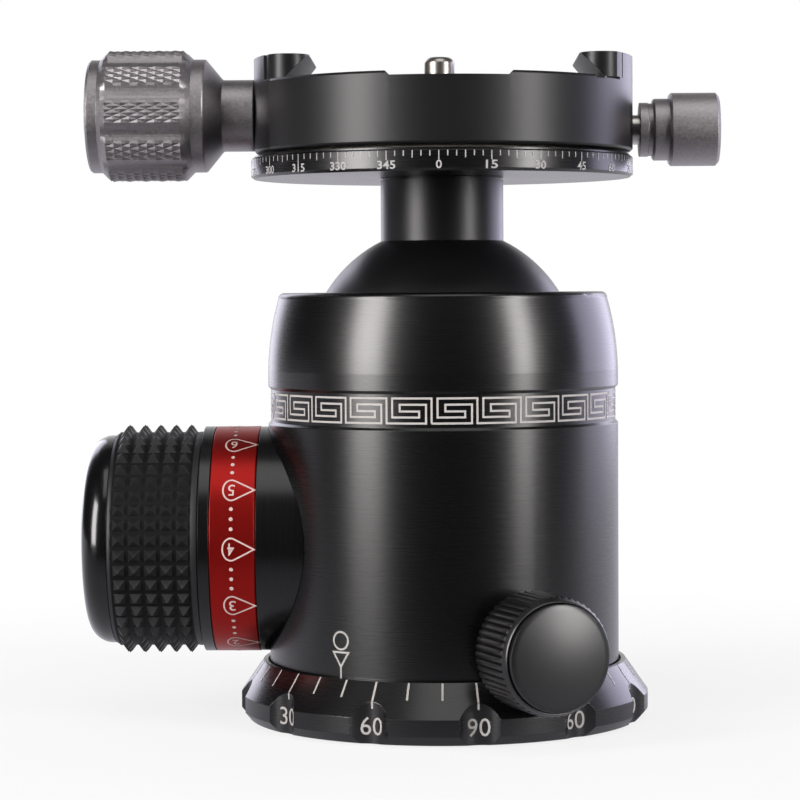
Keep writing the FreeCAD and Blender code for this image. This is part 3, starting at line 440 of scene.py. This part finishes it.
spindle_steel = new_finish("steel turned about the knob axis", (0.5, 0.49, 0.47), metallic=1.0,
                           roughness=0.3)
add_grain(spindle_steel, around_x, depth_mm=0.0015, gloss_change=0.06)
dress(spindle_steel, "main_spindle", "spindle_clip", "spindle_spring_washers")
dress(spindle_steel, "hub_screw", "hub_screw_washer")


# Grip
# A rubber sleeve moulded with forty-five rows of small pyramids, five to a row, with flat
# valleys between them and a plain hem at each end. It is stretched over the hub.

rubber_grain = (5000, 5000, 5000)
grip_rubber = new_finish("moulded grip rubber", (0.005, 0.005, 0.0056), metallic=0.0, roughness=0.5,
                         sheen=0.6)
add_grain(grip_rubber, rubber_grain, depth_mm=0.006, gloss_change=0.08, tone_change=0.2, edge_mm=0.03)
# The valleys get a rougher rubber at half the grip's colour: matt rubber, and painted shade in the
# hollows.
painted_shade_valley_rubber = new_finish("matt rubber of the valleys, darkened as painted shade", (0.0025, 0.0025, 0.003), metallic=0.0,
                           roughness=0.6, sheen=0.2)
add_grain(painted_shade_valley_rubber, rubber_grain, depth_mm=0.006, gloss_change=0.08, tone_change=0.2, edge_mm=0.03)
grip_low, grip_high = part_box("rubber_grip")
grip_axis_z = (grip_low.z + grip_high.z) / 2 / mm
grip_rows = 45
pyramid_columns = 5
grip_pitch = 2.04
grip_hem = 0.95
valley_share = 0.125
tip_r = 15.05
valley_r = 14.05
hem_r = 14.1
shoulder_r = 13.65
grip_bore_r = 12.62
grip_sharp_deg = 25

grip_right = grip_high.x / mm
grip_left = grip_low.x / mm
first_column = grip_right - grip_hem
column_edges = []
for column in range(pyramid_columns):
    for share in (valley_share, 1 - valley_share):
        column_edges.append(first_column - (column + share) * grip_pitch)
last_column = first_column - pyramid_columns * grip_pitch
sleeve_rows = [(grip_right, grip_bore_r), (grip_right, hem_r - 0.2), (grip_right - 0.2, hem_r),
               (first_column + 0.15, hem_r), (first_column, valley_r)]
first_pyramid = len(sleeve_rows)
sleeve_rows += [(x, valley_r) for x in column_edges]
sleeve_rows += [(last_column, valley_r), (last_column - 0.1, hem_r), (grip_left + 0.45, hem_r - 0.12),
                (grip_left + 0.15, hem_r - 0.26), (grip_left, shoulder_r), (grip_left, grip_bore_r)]


def round_knob_axis(x, r, turn_deg):
    """Point at x along the main knob's axis and r away from it, in metres."""
    angle = math.radians(turn_deg)
    return Vector((x, -r * math.cos(angle), grip_axis_z + r * math.sin(angle))) * mm


grip_turns = []
for row in range(grip_rows):
    for share in (valley_share, 1 - valley_share):
        grip_turns.append((row + share) * 360 / grip_rows)

sleeve = bmesh.new()
sleeve_rings = []
for x, r in sleeve_rows:
    sleeve_rings.append([sleeve.verts.new(round_knob_axis(x, r, turn)) for turn in grip_turns])
for i in range(len(sleeve_rings)):
    low, high = sleeve_rings[i], sleeve_rings[(i + 1) % len(sleeve_rings)]
    from_first = i - first_pyramid
    in_column = 0 <= from_first < 2 * pyramid_columns and from_first % 2 == 0
    in_valleys = -1 <= from_first < 2 * pyramid_columns
    for j in range(len(grip_turns)):
        following = (j + 1) % len(grip_turns)
        base = (low[j], low[following], high[following], high[j])
        if in_column and j % 2 == 0:
            middle_x = (sleeve_rows[i][0] + sleeve_rows[i + 1][0]) / 2
            tip = sleeve.verts.new(round_knob_axis(middle_x, tip_r, (j / 2 + 0.5) * 360 / grip_rows))
            for a, b in zip(base, base[1:] + base[:1]):
                sleeve.faces.new((a, b, tip))
        else:
            face = sleeve.faces.new(base)
            # Valley faces take the darker rubber, which is painted shade between the pyramids.
            face.material_index = 1 if in_valleys else 0
bmesh.ops.recalc_face_normals(sleeve, faces=sleeve.faces)
grip = finished_piece("moulded_grip", sleeve, grip_rubber, painted_shade_valley_rubber)
grip.data.shade_smooth()
grip.data.set_sharp_from_angle(angle=math.radians(grip_sharp_deg))
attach(grip, "main_knob")
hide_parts("rubber_grip")


# Friction scale on the red ring
# Pale marks on the ring count the friction setting from 1 to 8. Each number stands on its head
# inside a drop whose tip points at the body, with three dots to the next.

dial_low, dial_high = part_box("friction_dial_ring")
knob_axis_z = (dial_low.z + dial_high.z) / 2 / mm
dial_r = (dial_high.z - dial_low.z) / 2 / mm
drop_tip_gap = 0.1
drop_tip_x = dial_high.x / mm - drop_tip_gap
drop_reach = 2.95
drop_half_x = 1.08
drop_half_y = 1.42
drop_stroke = 0.2
drop_step = 30
drop_arc_steps = 24
last_setting = 8
four_bearing = -0.35
dot_turns = (10, 15, 20)
dot_r = 0.25
dot_sides = 16
dial_numeral_h = 1.55
dial_numeral_w = 0.85
dial_numeral_weight = 0.005

dial_ink = new_finish("pale dial ink", (0.56, 0.4, 0.37), metallic=0.0, roughness=0.5)
add_grain(dial_ink, ink_grain, depth_mm=0.002, gloss_change=0.05, tone_change=0.08)


def on_dial(lift_deg):
    def place(u, v):
        angle = math.radians(lift_deg) + v / dial_r
        r = dial_r + ink_lift
        return drop_tip_x - drop_reach + u, -r * math.cos(angle), knob_axis_z + r * math.sin(angle)
    return place


def drop_outline():
    meet = math.acos(drop_half_x / drop_reach)
    points = [(drop_reach, 0)]
    for i in range(drop_arc_steps + 1):
        angle = meet + (2 * math.pi - 2 * meet) * i / drop_arc_steps
        points.append((drop_half_x * math.cos(angle), drop_half_y * math.sin(angle)))
    points.append((drop_reach, 0))
    return points


def dot_mesh(radius):
    flat = bmesh.new()
    bmesh.ops.create_circle(flat, cap_ends=True, radius=radius, segments=dot_sides)
    mesh = bpy.data.meshes.new("dot")
    flat.to_mesh(mesh)
    flat.free()
    return mesh


dial_marks = []
for number in range(1, last_setting + 1):
    lift = four_bearing + drop_step * (number - 4)
    dial_marks.append((ribbons([drop_outline()], drop_stroke), on_dial(lift)))
    mark = numeral(str(number), dial_numeral_h, dial_numeral_w, dial_numeral_weight, upside_down=True)
    dial_marks.append((mark, on_dial(lift)))
    if number < last_setting:
        for dot_turn in dot_turns:
            dial_marks.append((dot_mesh(dot_r), on_dial(lift + dot_turn)))
print_on("friction_scale", dial_marks, "main_knob", dial_ink)


# Wedge and ball cup
# A steel wedge and its track under the ball. The knob's thread draws the wedge along, and the
# wedge lifts the black cup, whose plastic ring grips the ball.

dress(spindle_steel, "locking_wedge", "wedge_track")
dress(satin_turned, "ball_cup")
dress(slide_plastic, "cup_pad", "ball_seat_ring")


# Pan lock knob
# A turned aluminium barrel with fifty straight rounded ribs, and a domed cap inside its rim.
# It turns on a steel screw whose tip presses a shoe into the base's groove.

pan_lock_bearing = math.radians(23.3)
pan_lock_z = 11.65
rib_count = 50
pan_knob_r = 7.35
rib_depth = 0.42
pan_sharp_deg = 38
rib_profile = [(-0.5, 1), (-0.4, 0.62), (-0.3, 0.16), (-0.12, 0.0), (0.12, 0.0), (0.3, 0.16), (0.4, 0.62)]
pan_knob_rows = [
    (23.6, 2.52, 0), (23.6, 3.8, 0), (26.4, 3.8, 0), (26.4, 6.6, 0), (26.42, 6.9, 0.3), (26.6, 7.25, 0.8),
    (26.75, pan_knob_r, 1), (28.6, pan_knob_r, 1), (30.6, pan_knob_r, 1), (32.6, pan_knob_r, 1),
    (33.75, pan_knob_r, 1), (33.95, 7.28, 0.7), (34.1, 7.16, 0), (34.3, 7.1, 0), (34.6, 6.98, 0),
    (34.78, 6.9, 0), (34.85, 6.82, 0), (34.82, 6.72, 0), (34.6, 6.7, 0), (33.35, 6.7, 0), (33.35, 2.52, 0),
]


def closed_rings(name, rings, finish, sharp_deg):
    """Mesh through rings of points, each joined to the next, with shading split at sharp edges."""
    grid = bmesh.new()
    rows = [[grid.verts.new(Vector(point) * mm) for point in ring] for ring in rings]
    for low, high in zip(rows, rows[1:]):
        for i in range(len(low)):
            following = (i + 1) % len(low)
            grid.faces.new((low[i], low[following], high[following], high[i]))
    bmesh.ops.recalc_face_normals(grid, faces=grid.faces)
    piece = finished_piece(name, grid, finish)
    piece.data.shade_smooth()
    piece.data.set_sharp_from_angle(angle=math.radians(sharp_deg))
    return piece


out_x, out_y = math.sin(pan_lock_bearing), -math.cos(pan_lock_bearing)


def round_pan_screw(out, r, angle):
    """Point that lies out along the pan screw's axis and r away from it."""
    side, up = r * math.cos(angle), r * math.sin(angle)
    return out * out_x - side * out_y, out * out_y + side * out_x, pan_lock_z + up


pan_rings = []
for out, radius, ribbed in pan_knob_rows:
    ring = []
    for rib in range(rib_count):
        for share, sunk in rib_profile:
            angle = 2 * math.pi * (rib + share) / rib_count
            ring.append(round_pan_screw(out, radius - rib_depth * sunk * ribbed, angle))
    pan_rings.append(ring)

satin_plain = new_finish("satin black, fine grain", (0.004, 0.004, 0.0044), metallic=0.0, roughness=0.34,
                         sheen=0.9)
add_grain(satin_plain, (4000, 4000, 4000), depth_mm=0.0012, gloss_change=0.05, tone_change=0.25,
          edge_mm=0.04)
pan_knob = closed_rings("ribbed_pan_knob", pan_rings, satin_plain, pan_sharp_deg)
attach(pan_knob, "pan_knob")
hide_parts("pan_lock_knob")

cap_foot = 33.35
cap_edge = 35.5
cap_rise = 0.5
cap_r = 6.58
cap_rim_r = 6.52
dome_r = 6.3
dome_pole_r = 0.01
dome_steps = 14
cap_sides = 96

cap_turns = [2 * math.pi * i / cap_sides for i in range(cap_sides)]
cap_rows = [(cap_foot, cap_r), (cap_edge - 0.3, cap_r), (cap_edge - 0.12, cap_rim_r)]
for i in range(dome_steps + 1):
    r = dome_r * (1 - i / dome_steps) + dome_pole_r
    cap_rows.append((cap_edge + cap_rise * (1 - (r / dome_r) ** 2), r))
cap_rings = [[round_pan_screw(out, r, turn) for turn in cap_turns] for out, r in cap_rows]
pan_cap = closed_rings("domed_pan_cap", cap_rings, satin_plain, pan_sharp_deg)
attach(pan_cap, "pan_knob")
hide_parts("pan_lock_cap")
dress(spindle_steel, "pan_lock_screw", "pan_lock_shoe")


# Ball and stem
# One piece of aluminium. The ball is bead-blasted matt black, and the stem carries the same
# blasted grain up to a fine groove under the disc.

blasted_black = new_finish("bead-blasted black", (0.003, 0.003, 0.0036), metallic=0.0, roughness=0.36)
add_grain(blasted_black, (6500, 6500, 6500), depth_mm=0.009, gloss_change=0.07, tone_change=0.3)
dress(blasted_black, "ball_and_stem")
dress(bright_steel, "stem_dowel", "stem_bolt")


# Scale disc
# The turned disc under the clamp, bolted to the stem. Its edge carries a pale scale with a
# tick every two and a half degrees and a number every fifteen.

dress(satin_turned, "scale_disc", "clamp_retainer")
dress(slide_plastic, "disc_slide_ring")

disc_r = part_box("scale_disc")[1].x / mm
disc_top_z = 73.08
scale_zero_bearing = -0.7
scale_tick_w = 0.14
scale_ticks = 144
ticks_to_number = 6
scale_tick_h = {0: 1.15, 3: 0.92}
fine_tick_h = 0.68
scale_numeral_h = 1.05
scale_numeral_w = 0.72
scale_numeral_z = 71.36
scale_numeral_weight = 0.02

scale_ink = new_finish("grey scale ink", (0.36, 0.355, 0.35), metallic=0.0, roughness=0.55)
add_grain(scale_ink, ink_grain, depth_mm=0.002, gloss_change=0.05, tone_change=0.08)

scale_lines = []
for step in range(scale_ticks):
    length = scale_tick_h.get(step % ticks_to_number, fine_tick_h)
    u = 2 * math.pi * step / scale_ticks * disc_r
    scale_lines.append([(u, disc_top_z - length), (u, disc_top_z)])
disc_marks = [(ribbons(scale_lines, scale_tick_w), on_barrel(disc_r, scale_zero_bearing))]
for step in range(0, scale_ticks, ticks_to_number):
    number = 360 * step // scale_ticks
    mark = numeral(str(number), scale_numeral_h, scale_numeral_w, scale_numeral_weight)
    mark.transform(Matrix.Translation((0, scale_numeral_z, 0)))
    disc_marks.append((mark, on_barrel(disc_r, scale_zero_bearing + number)))
print_on("disc_scale", disc_marks, "ball", scale_ink)


# Clamp
# The panning disc with one fixed dovetail jaw, milled from aluminium and anodised, and the
# moving jaw that two steel pins guide. A camera plate slides in between the jaws.

satin_clamp = new_finish("satin black clamp", (0.005, 0.005, 0.0056), metallic=0.0, roughness=0.38)
add_grain(satin_clamp, around_z, depth_mm=0.0005, gloss_change=0.04)
dress(satin_clamp, "clamp_body", "moving_jaw")
dress(slide_plastic, "retainer_slide_ring")
dress(spindle_steel, "jaw_guide_pins", "clamp_bolt", "clamp_bolt_clip")


# Clamp knob
# Gunmetal aluminium, turned with a cone and sleeve towards the jaw. Ten smooth flutes run along
# the grip, and the lands between them are cut with a diamond knurl.

clamp_axis_z = 79.0
knob_end_x = -46.18
grip_left_x = -44.58
grip_right_x = -32.45
flange_x = -30.83
bore_end_x = -30.0
sleeve_x = -28.6
sleeve_end_x = -24.4
grip_r = 8.62
flange_r = 7.39
sleeve_r = 4.68
bore_r = 2.52
face_pole_r = 0.01
flute_count = 10
flute_half_deg = 9.35
flute_depth = 0.62
flute_columns = 8
knurl_depth = 0.19
knurl_rows = 9
knurl_columns = 6
knob_sharp_deg = 20
chamfer = grip_r - flange_r
blasted_grain = (3200, 3200, 3200)

warm_gunmetal = new_finish("gunmetal, bead-blasted", (0.4, 0.38, 0.392), metallic=1.0, roughness=0.5)
add_grain(warm_gunmetal, blasted_grain, depth_mm=0.012, gloss_change=0.1, tone_change=0.3, edge_mm=0.1)
knurled_gunmetal = new_finish("gunmetal, knurled", (0.34, 0.322, 0.334), metallic=1.0, roughness=0.46)
add_grain(knurled_gunmetal, blasted_grain, depth_mm=0.01, gloss_change=0.1, tone_change=0.3, edge_mm=0.03)

land_half_deg = 180 / flute_count - flute_half_deg
knob_columns = []
for land in range(flute_count):
    middle = 360 / flute_count * land
    for i in range(knurl_columns + 1):
        knob_columns.append((middle - land_half_deg + 2 * land_half_deg * i / knurl_columns, i, 0))
    for i in range(1, flute_columns):
        share = 2 * i / flute_columns - 1
        angle = middle + 180 / flute_count + flute_half_deg * share
        knob_columns.append((angle, None, flute_depth * (1 - share * share)))

clamp_rows = [(knob_end_x + 0.5, face_pole_r), (knob_end_x + 0.5, 4.55), (knob_end_x + 0.42, 4.68),
              (knob_end_x + 0.05, 5.05), (knob_end_x, 5.2), (knob_end_x, 6.85),
              (knob_end_x + 0.12, 7.2), (knob_end_x + 0.4, flange_r), (grip_left_x, flange_r),
              (grip_left_x + 0.5 * chamfer, flange_r + 0.5 * chamfer)]
knurl_low_x = grip_left_x + chamfer
knurl_high_x = grip_right_x - chamfer
first_knurl_row = len(clamp_rows)
for i in range(knurl_rows + 1):
    clamp_rows.append((knurl_low_x + (knurl_high_x - knurl_low_x) * i / knurl_rows, grip_r))
last_knurl_row = len(clamp_rows) - 1
clamp_rows += [(grip_right_x - 0.5 * chamfer, flange_r + 0.5 * chamfer), (grip_right_x, flange_r),
               (flange_x - 0.12, flange_r), (flange_x + 0.05, 7.3), (sleeve_x - 0.15, 4.85),
               (sleeve_x + 0.02, 4.71), (sleeve_x + 0.2, sleeve_r), (sleeve_end_x - 0.15, sleeve_r),
               (sleeve_end_x - 0.02, 4.55), (sleeve_end_x, 4.4), (sleeve_end_x, bore_r),
               (bore_end_x, bore_r)]

knob_rings = []
for row, (x, radius) in enumerate(clamp_rows):
    ring = []
    in_knurl = first_knurl_row <= row <= last_knurl_row
    for angle_deg, land_column, sunk in knob_columns:
        r = min(radius, grip_r - sunk)
        if in_knurl and land_column is not None and (row + land_column) % 2:
            r -= knurl_depth
        angle = math.radians(angle_deg)
        ring.append((x, -r * math.cos(angle), clamp_axis_z + r * math.sin(angle)))
    knob_rings.append(ring)
knob = closed_rings("knurled_clamp_knob", knob_rings, knurled_gunmetal, knob_sharp_deg)

# Each face of the knurl is shaded flat and folded between its two pits, so the points are crisp.
knurl = bmesh.new()
knurl.from_mesh(knob.data)
for face in list(knurl.faces):
    row = min(v.index for v in face.verts) // len(knob_columns)
    if not first_knurl_row <= row < last_knurl_row:
        continue
    radii = [math.hypot(v.co.y, v.co.z - clamp_axis_z * mm) for v in face.verts]
    if max(radii) - min(radii) < 0.5 * knurl_depth * mm:
        continue
    face.smooth = False
    pits = sorted(range(4), key=lambda i: radii[i])[:2]
    if (pits[0] + pits[1]) % 2 == 0:
        bmesh.utils.face_split(face, face.verts[pits[0]], face.verts[pits[1]])
knurl.to_mesh(knob.data)
knurl.free()
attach(knob, "clamp_screw")
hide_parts("clamp_knob")


# Swivel lock
# A small stepped gunmetal knob on the right. Its steel stud pushes a shoe against the boss of
# the disc, which holds the clamp's swivel.

dress(warm_gunmetal, "swivel_lock_knob", "swivel_lock_washer")
dress(spindle_steel, "swivel_lock_stud", "swivel_lock_shoe")


# Safety pin
# A polished steel pin that stands up out of the clamp and stops a plate from sliding out. It
# presses down against a small coil spring held by a slotted plug.

polished_pin = new_finish("polished steel pin", (0.42, 0.4, 0.37), metallic=1.0, roughness=0.33)
add_grain(polished_pin, around_z, depth_mm=0.0006, gloss_change=0.05, tone_change=0.05)
dress(polished_pin, "safety_pin")
dress(bright_steel, "pin_plug")

spring_low, spring_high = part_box("pin_spring")
spring_middle = (spring_low + spring_high) / 2 / mm
wire_r = 0.2
coil_r = (spring_high.x - spring_low.x) / 2 / mm - wire_r
coil_low_z = spring_low.z / mm + wire_r
coil_rise = (spring_high.z - spring_low.z) / mm - 2 * wire_r
coil_turns = 4
coil_steps = 160
wire_sides = 8
wire_sharp_deg = 60

wire_rings = []
for i in range(coil_steps + 1):
    turn = 2 * math.pi * coil_turns * i / coil_steps
    ring = []
    for j in range(wire_sides):
        out = coil_r + wire_r * math.cos(2 * math.pi * j / wire_sides)
        up = coil_low_z + coil_rise * i / coil_steps + wire_r * math.sin(2 * math.pi * j / wire_sides)
        ring.append((spring_middle.x + out * math.cos(turn), spring_middle.y + out * math.sin(turn), up))
    wire_rings.append(ring)
coil = closed_rings("pin_coil_spring", wire_rings, bright_steel, wire_sharp_deg)
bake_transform(coil)
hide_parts("pin_spring")


# Studio
# A pale floor that mirrored rays see as a painted reflection, two tall softboxes in front to the left
# and right, two cool lights behind, a small lamp above, and a camera where the photograph was taken.

floor_half = 2.0
floor_gap = 0.0002
shadow_near = 0.04
shadow_far = 0.15
near_white = 0.8
# Strengths of the painted reflection that the paper shows to mirrored rays, from front to rear.
mirror_front_y = -0.1
mirror_rear_y = 0.05
mirror_front = 0.03
mirror_rear = 0.9
behind_starts = 0.55
behind_full = 0.98
ambient_strength = 0.07

floor_mesh = bpy.data.meshes.new("studio_floor")
floor_corners = [(-floor_half, -floor_half, 0), (floor_half, -floor_half, 0),
                 (floor_half, floor_half, 0), (-floor_half, floor_half, 0)]
floor_mesh.from_pydata(floor_corners, [], [(0, 1, 2, 3)])
floor = bpy.data.objects.new("studio_floor", floor_mesh)
floor.location.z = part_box("base_dial")[0].z - floor_gap
bpy.context.scene.collection.objects.link(floor)

# The camera sees the paper turn white away from the base, and its shadow stays near the base.
# To mirrored rays it glows as a painted reflection: nearly black in front of the head and pale behind.
paper = bpy.data.materials.new("pale paper with painted reflection")
paper.use_nodes = True
tree = paper.node_tree
tree.nodes.clear()
matt = tree.nodes.new("ShaderNodeBsdfDiffuse")
matt.inputs["Color"].default_value = (0.86, 0.86, 0.88, 1)
white_paper = tree.nodes.new("ShaderNodeEmission")
paper_rays = tree.nodes.new("ShaderNodeLightPath")
floor_place = tree.nodes.new("ShaderNodeTexCoord")
from_base = tree.nodes.new("ShaderNodeVectorMath")
from_base.operation = "LENGTH"
whitening = tree.nodes.new("ShaderNodeMapRange")
whitening.inputs["From Min"].default_value = shadow_near
whitening.inputs["From Max"].default_value = shadow_far
whitening.inputs["To Min"].default_value = near_white
whitening.inputs["To Max"].default_value = 1
white_share = tree.nodes.new("ShaderNodeMath")
white_share.operation = "MULTIPLY"
# Painted reflection: the paper glows for mirrored rays though it is no lamp.
painted_reflection_glow = tree.nodes.new("ShaderNodeEmission")
painted_reflection_glow.inputs["Color"].default_value = (0.94, 0.92, 1, 1)
floor_axes = tree.nodes.new("ShaderNodeSeparateXYZ")
front_to_rear = tree.nodes.new("ShaderNodeMapRange")
front_to_rear.inputs["From Min"].default_value = mirror_front_y
front_to_rear.inputs["From Max"].default_value = mirror_rear_y
front_to_rear.inputs["To Min"].default_value = mirror_front
front_to_rear.inputs["To Max"].default_value = mirror_rear
mirrored_floor = tree.nodes.new("ShaderNodeMixShader")
paper_mix = tree.nodes.new("ShaderNodeMixShader")
paper_output = tree.nodes.new("ShaderNodeOutputMaterial")
tree.links.new(floor_place.outputs["Object"], from_base.inputs[0])
tree.links.new(from_base.outputs["Value"], whitening.inputs["Value"])
tree.links.new(floor_place.outputs["Object"], floor_axes.inputs["Vector"])
tree.links.new(floor_axes.outputs["Y"], front_to_rear.inputs["Value"])
tree.links.new(front_to_rear.outputs["Result"], painted_reflection_glow.inputs["Strength"])
tree.links.new(paper_rays.outputs["Is Camera Ray"], white_share.inputs[0])
tree.links.new(whitening.outputs["Result"], white_share.inputs[1])
tree.links.new(paper_rays.outputs["Is Glossy Ray"], mirrored_floor.inputs["Fac"])
tree.links.new(matt.outputs["BSDF"], mirrored_floor.inputs[1])
tree.links.new(painted_reflection_glow.outputs["Emission"], mirrored_floor.inputs[2])
tree.links.new(white_share.outputs["Value"], paper_mix.inputs["Fac"])
tree.links.new(mirrored_floor.outputs["Shader"], paper_mix.inputs[1])
tree.links.new(white_paper.outputs["Emission"], paper_mix.inputs[2])
tree.links.new(paper_mix.outputs["Shader"], paper_output.inputs["Surface"])
floor_mesh.materials.append(paper)

# The world is white to the camera from every side, and to mirrored and transmitted rays only
# where they leave towards the rear. To all other rays it is a faint grey.
world = bpy.data.worlds.new("studio")
bpy.context.scene.world = world
world.use_nodes = True
sky = world.node_tree
sky.nodes.clear()
ambient = sky.nodes.new("ShaderNodeBackground")
ambient.inputs["Color"].default_value = (0.5, 0.5, 0.52, 1)
ambient.inputs["Strength"].default_value = ambient_strength
white_world = sky.nodes.new("ShaderNodeBackground")
white_world.inputs["Color"].default_value = (1, 1, 1, 1)
ray_way = sky.nodes.new("ShaderNodeTexCoord")
way_axes = sky.nodes.new("ShaderNodeSeparateXYZ")
behind = sky.nodes.new("ShaderNodeMapRange")
behind.inputs["From Min"].default_value = behind_starts
behind.inputs["From Max"].default_value = behind_full
world_rays = sky.nodes.new("ShaderNodeLightPath")
mirrored = sky.nodes.new("ShaderNodeMath")
mirrored.operation = "ADD"
mirrored_behind = sky.nodes.new("ShaderNodeMath")
mirrored_behind.operation = "MULTIPLY"
shows_white = sky.nodes.new("ShaderNodeMath")
shows_white.operation = "MAXIMUM"
world_mix = sky.nodes.new("ShaderNodeMixShader")
world_output = sky.nodes.new("ShaderNodeOutputWorld")
sky.links.new(ray_way.outputs["Generated"], way_axes.inputs["Vector"])
sky.links.new(way_axes.outputs["Y"], behind.inputs["Value"])
sky.links.new(world_rays.outputs["Is Glossy Ray"], mirrored.inputs[0])
sky.links.new(world_rays.outputs["Is Transmission Ray"], mirrored.inputs[1])
sky.links.new(mirrored.outputs["Value"], mirrored_behind.inputs[0])
sky.links.new(behind.outputs["Result"], mirrored_behind.inputs[1])
sky.links.new(world_rays.outputs["Is Camera Ray"], shows_white.inputs[0])
sky.links.new(mirrored_behind.outputs["Value"], shows_white.inputs[1])
sky.links.new(shows_white.outputs["Value"], world_mix.inputs["Fac"])
sky.links.new(ambient.outputs["Background"], world_mix.inputs[1])
sky.links.new(white_world.outputs["Background"], world_mix.inputs[2])
sky.links.new(world_mix.outputs["Shader"], world_output.inputs["Surface"])

aim_z = 0.045
neutral_white = (1.0, 0.97, 0.96)


def softbox(name, bearing_deg, distance, height, width, tall, watts, colour):
    """Rectangular lamp at a bearing round the pan axis, turned to face the object."""
    lamp = bpy.data.lights.new(name, "AREA")
    lamp.shape = "RECTANGLE"
    lamp.size = width
    lamp.size_y = tall
    lamp.energy = watts
    lamp.color = colour
    bearing = math.radians(bearing_deg)
    holder = bpy.data.objects.new(name, lamp)
    holder.location = (distance * math.sin(bearing), -distance * math.cos(bearing), height)
    aim = Vector((0, 0, aim_z)) - holder.location
    holder.rotation_euler = aim.to_track_quat("-Z", "Y").to_euler()
    bpy.context.scene.collection.objects.link(holder)


softbox("left softbox", bearing_deg=-50, distance=0.8, height=0.16, width=0.3, tall=0.9,
        watts=11, colour=neutral_white)
softbox("right softbox", bearing_deg=53, distance=0.8, height=0.16, width=0.18, tall=0.9,
        watts=7, colour=neutral_white)
softbox("rear right light", bearing_deg=128, distance=0.8, height=0.12, width=0.8, tall=0.6,
        watts=5, colour=(0.8, 0.77, 1.0))
softbox("rear left light", bearing_deg=-150, distance=0.8, height=0.15, width=0.3, tall=0.9,
        watts=2, colour=(0.85, 0.83, 1.0))
softbox("top light", bearing_deg=10, distance=0.25, height=0.75, width=0.5, tall=0.5,
        watts=1.3, colour=(1.0, 0.98, 0.97))

photo_px = 800
focal_px = 2670
camera_x, camera_y, camera_z = 0.65, -351.8, 56.2
pitch_deg = 2.39
yaw_deg = 1.03
roll_deg = -0.35

lens = bpy.data.cameras.new("studio camera")
lens.sensor_width = 36
lens.lens = focal_px / photo_px * lens.sensor_width
camera = bpy.data.objects.new("studio camera", lens)
camera.matrix_world = (
    Matrix.Translation(Vector((camera_x, camera_y, camera_z)) * mm)
    @ Matrix.Rotation(math.radians(yaw_deg), 4, "Z")
    @ Matrix.Rotation(math.radians(90 - pitch_deg), 4, "X")
    @ Matrix.Rotation(math.radians(roll_deg), 4, "Z")
)
bpy.context.scene.collection.objects.link(camera)
bpy.context.scene.camera = camera
bpy.context.scene.view_settings.view_transform = "Standard"
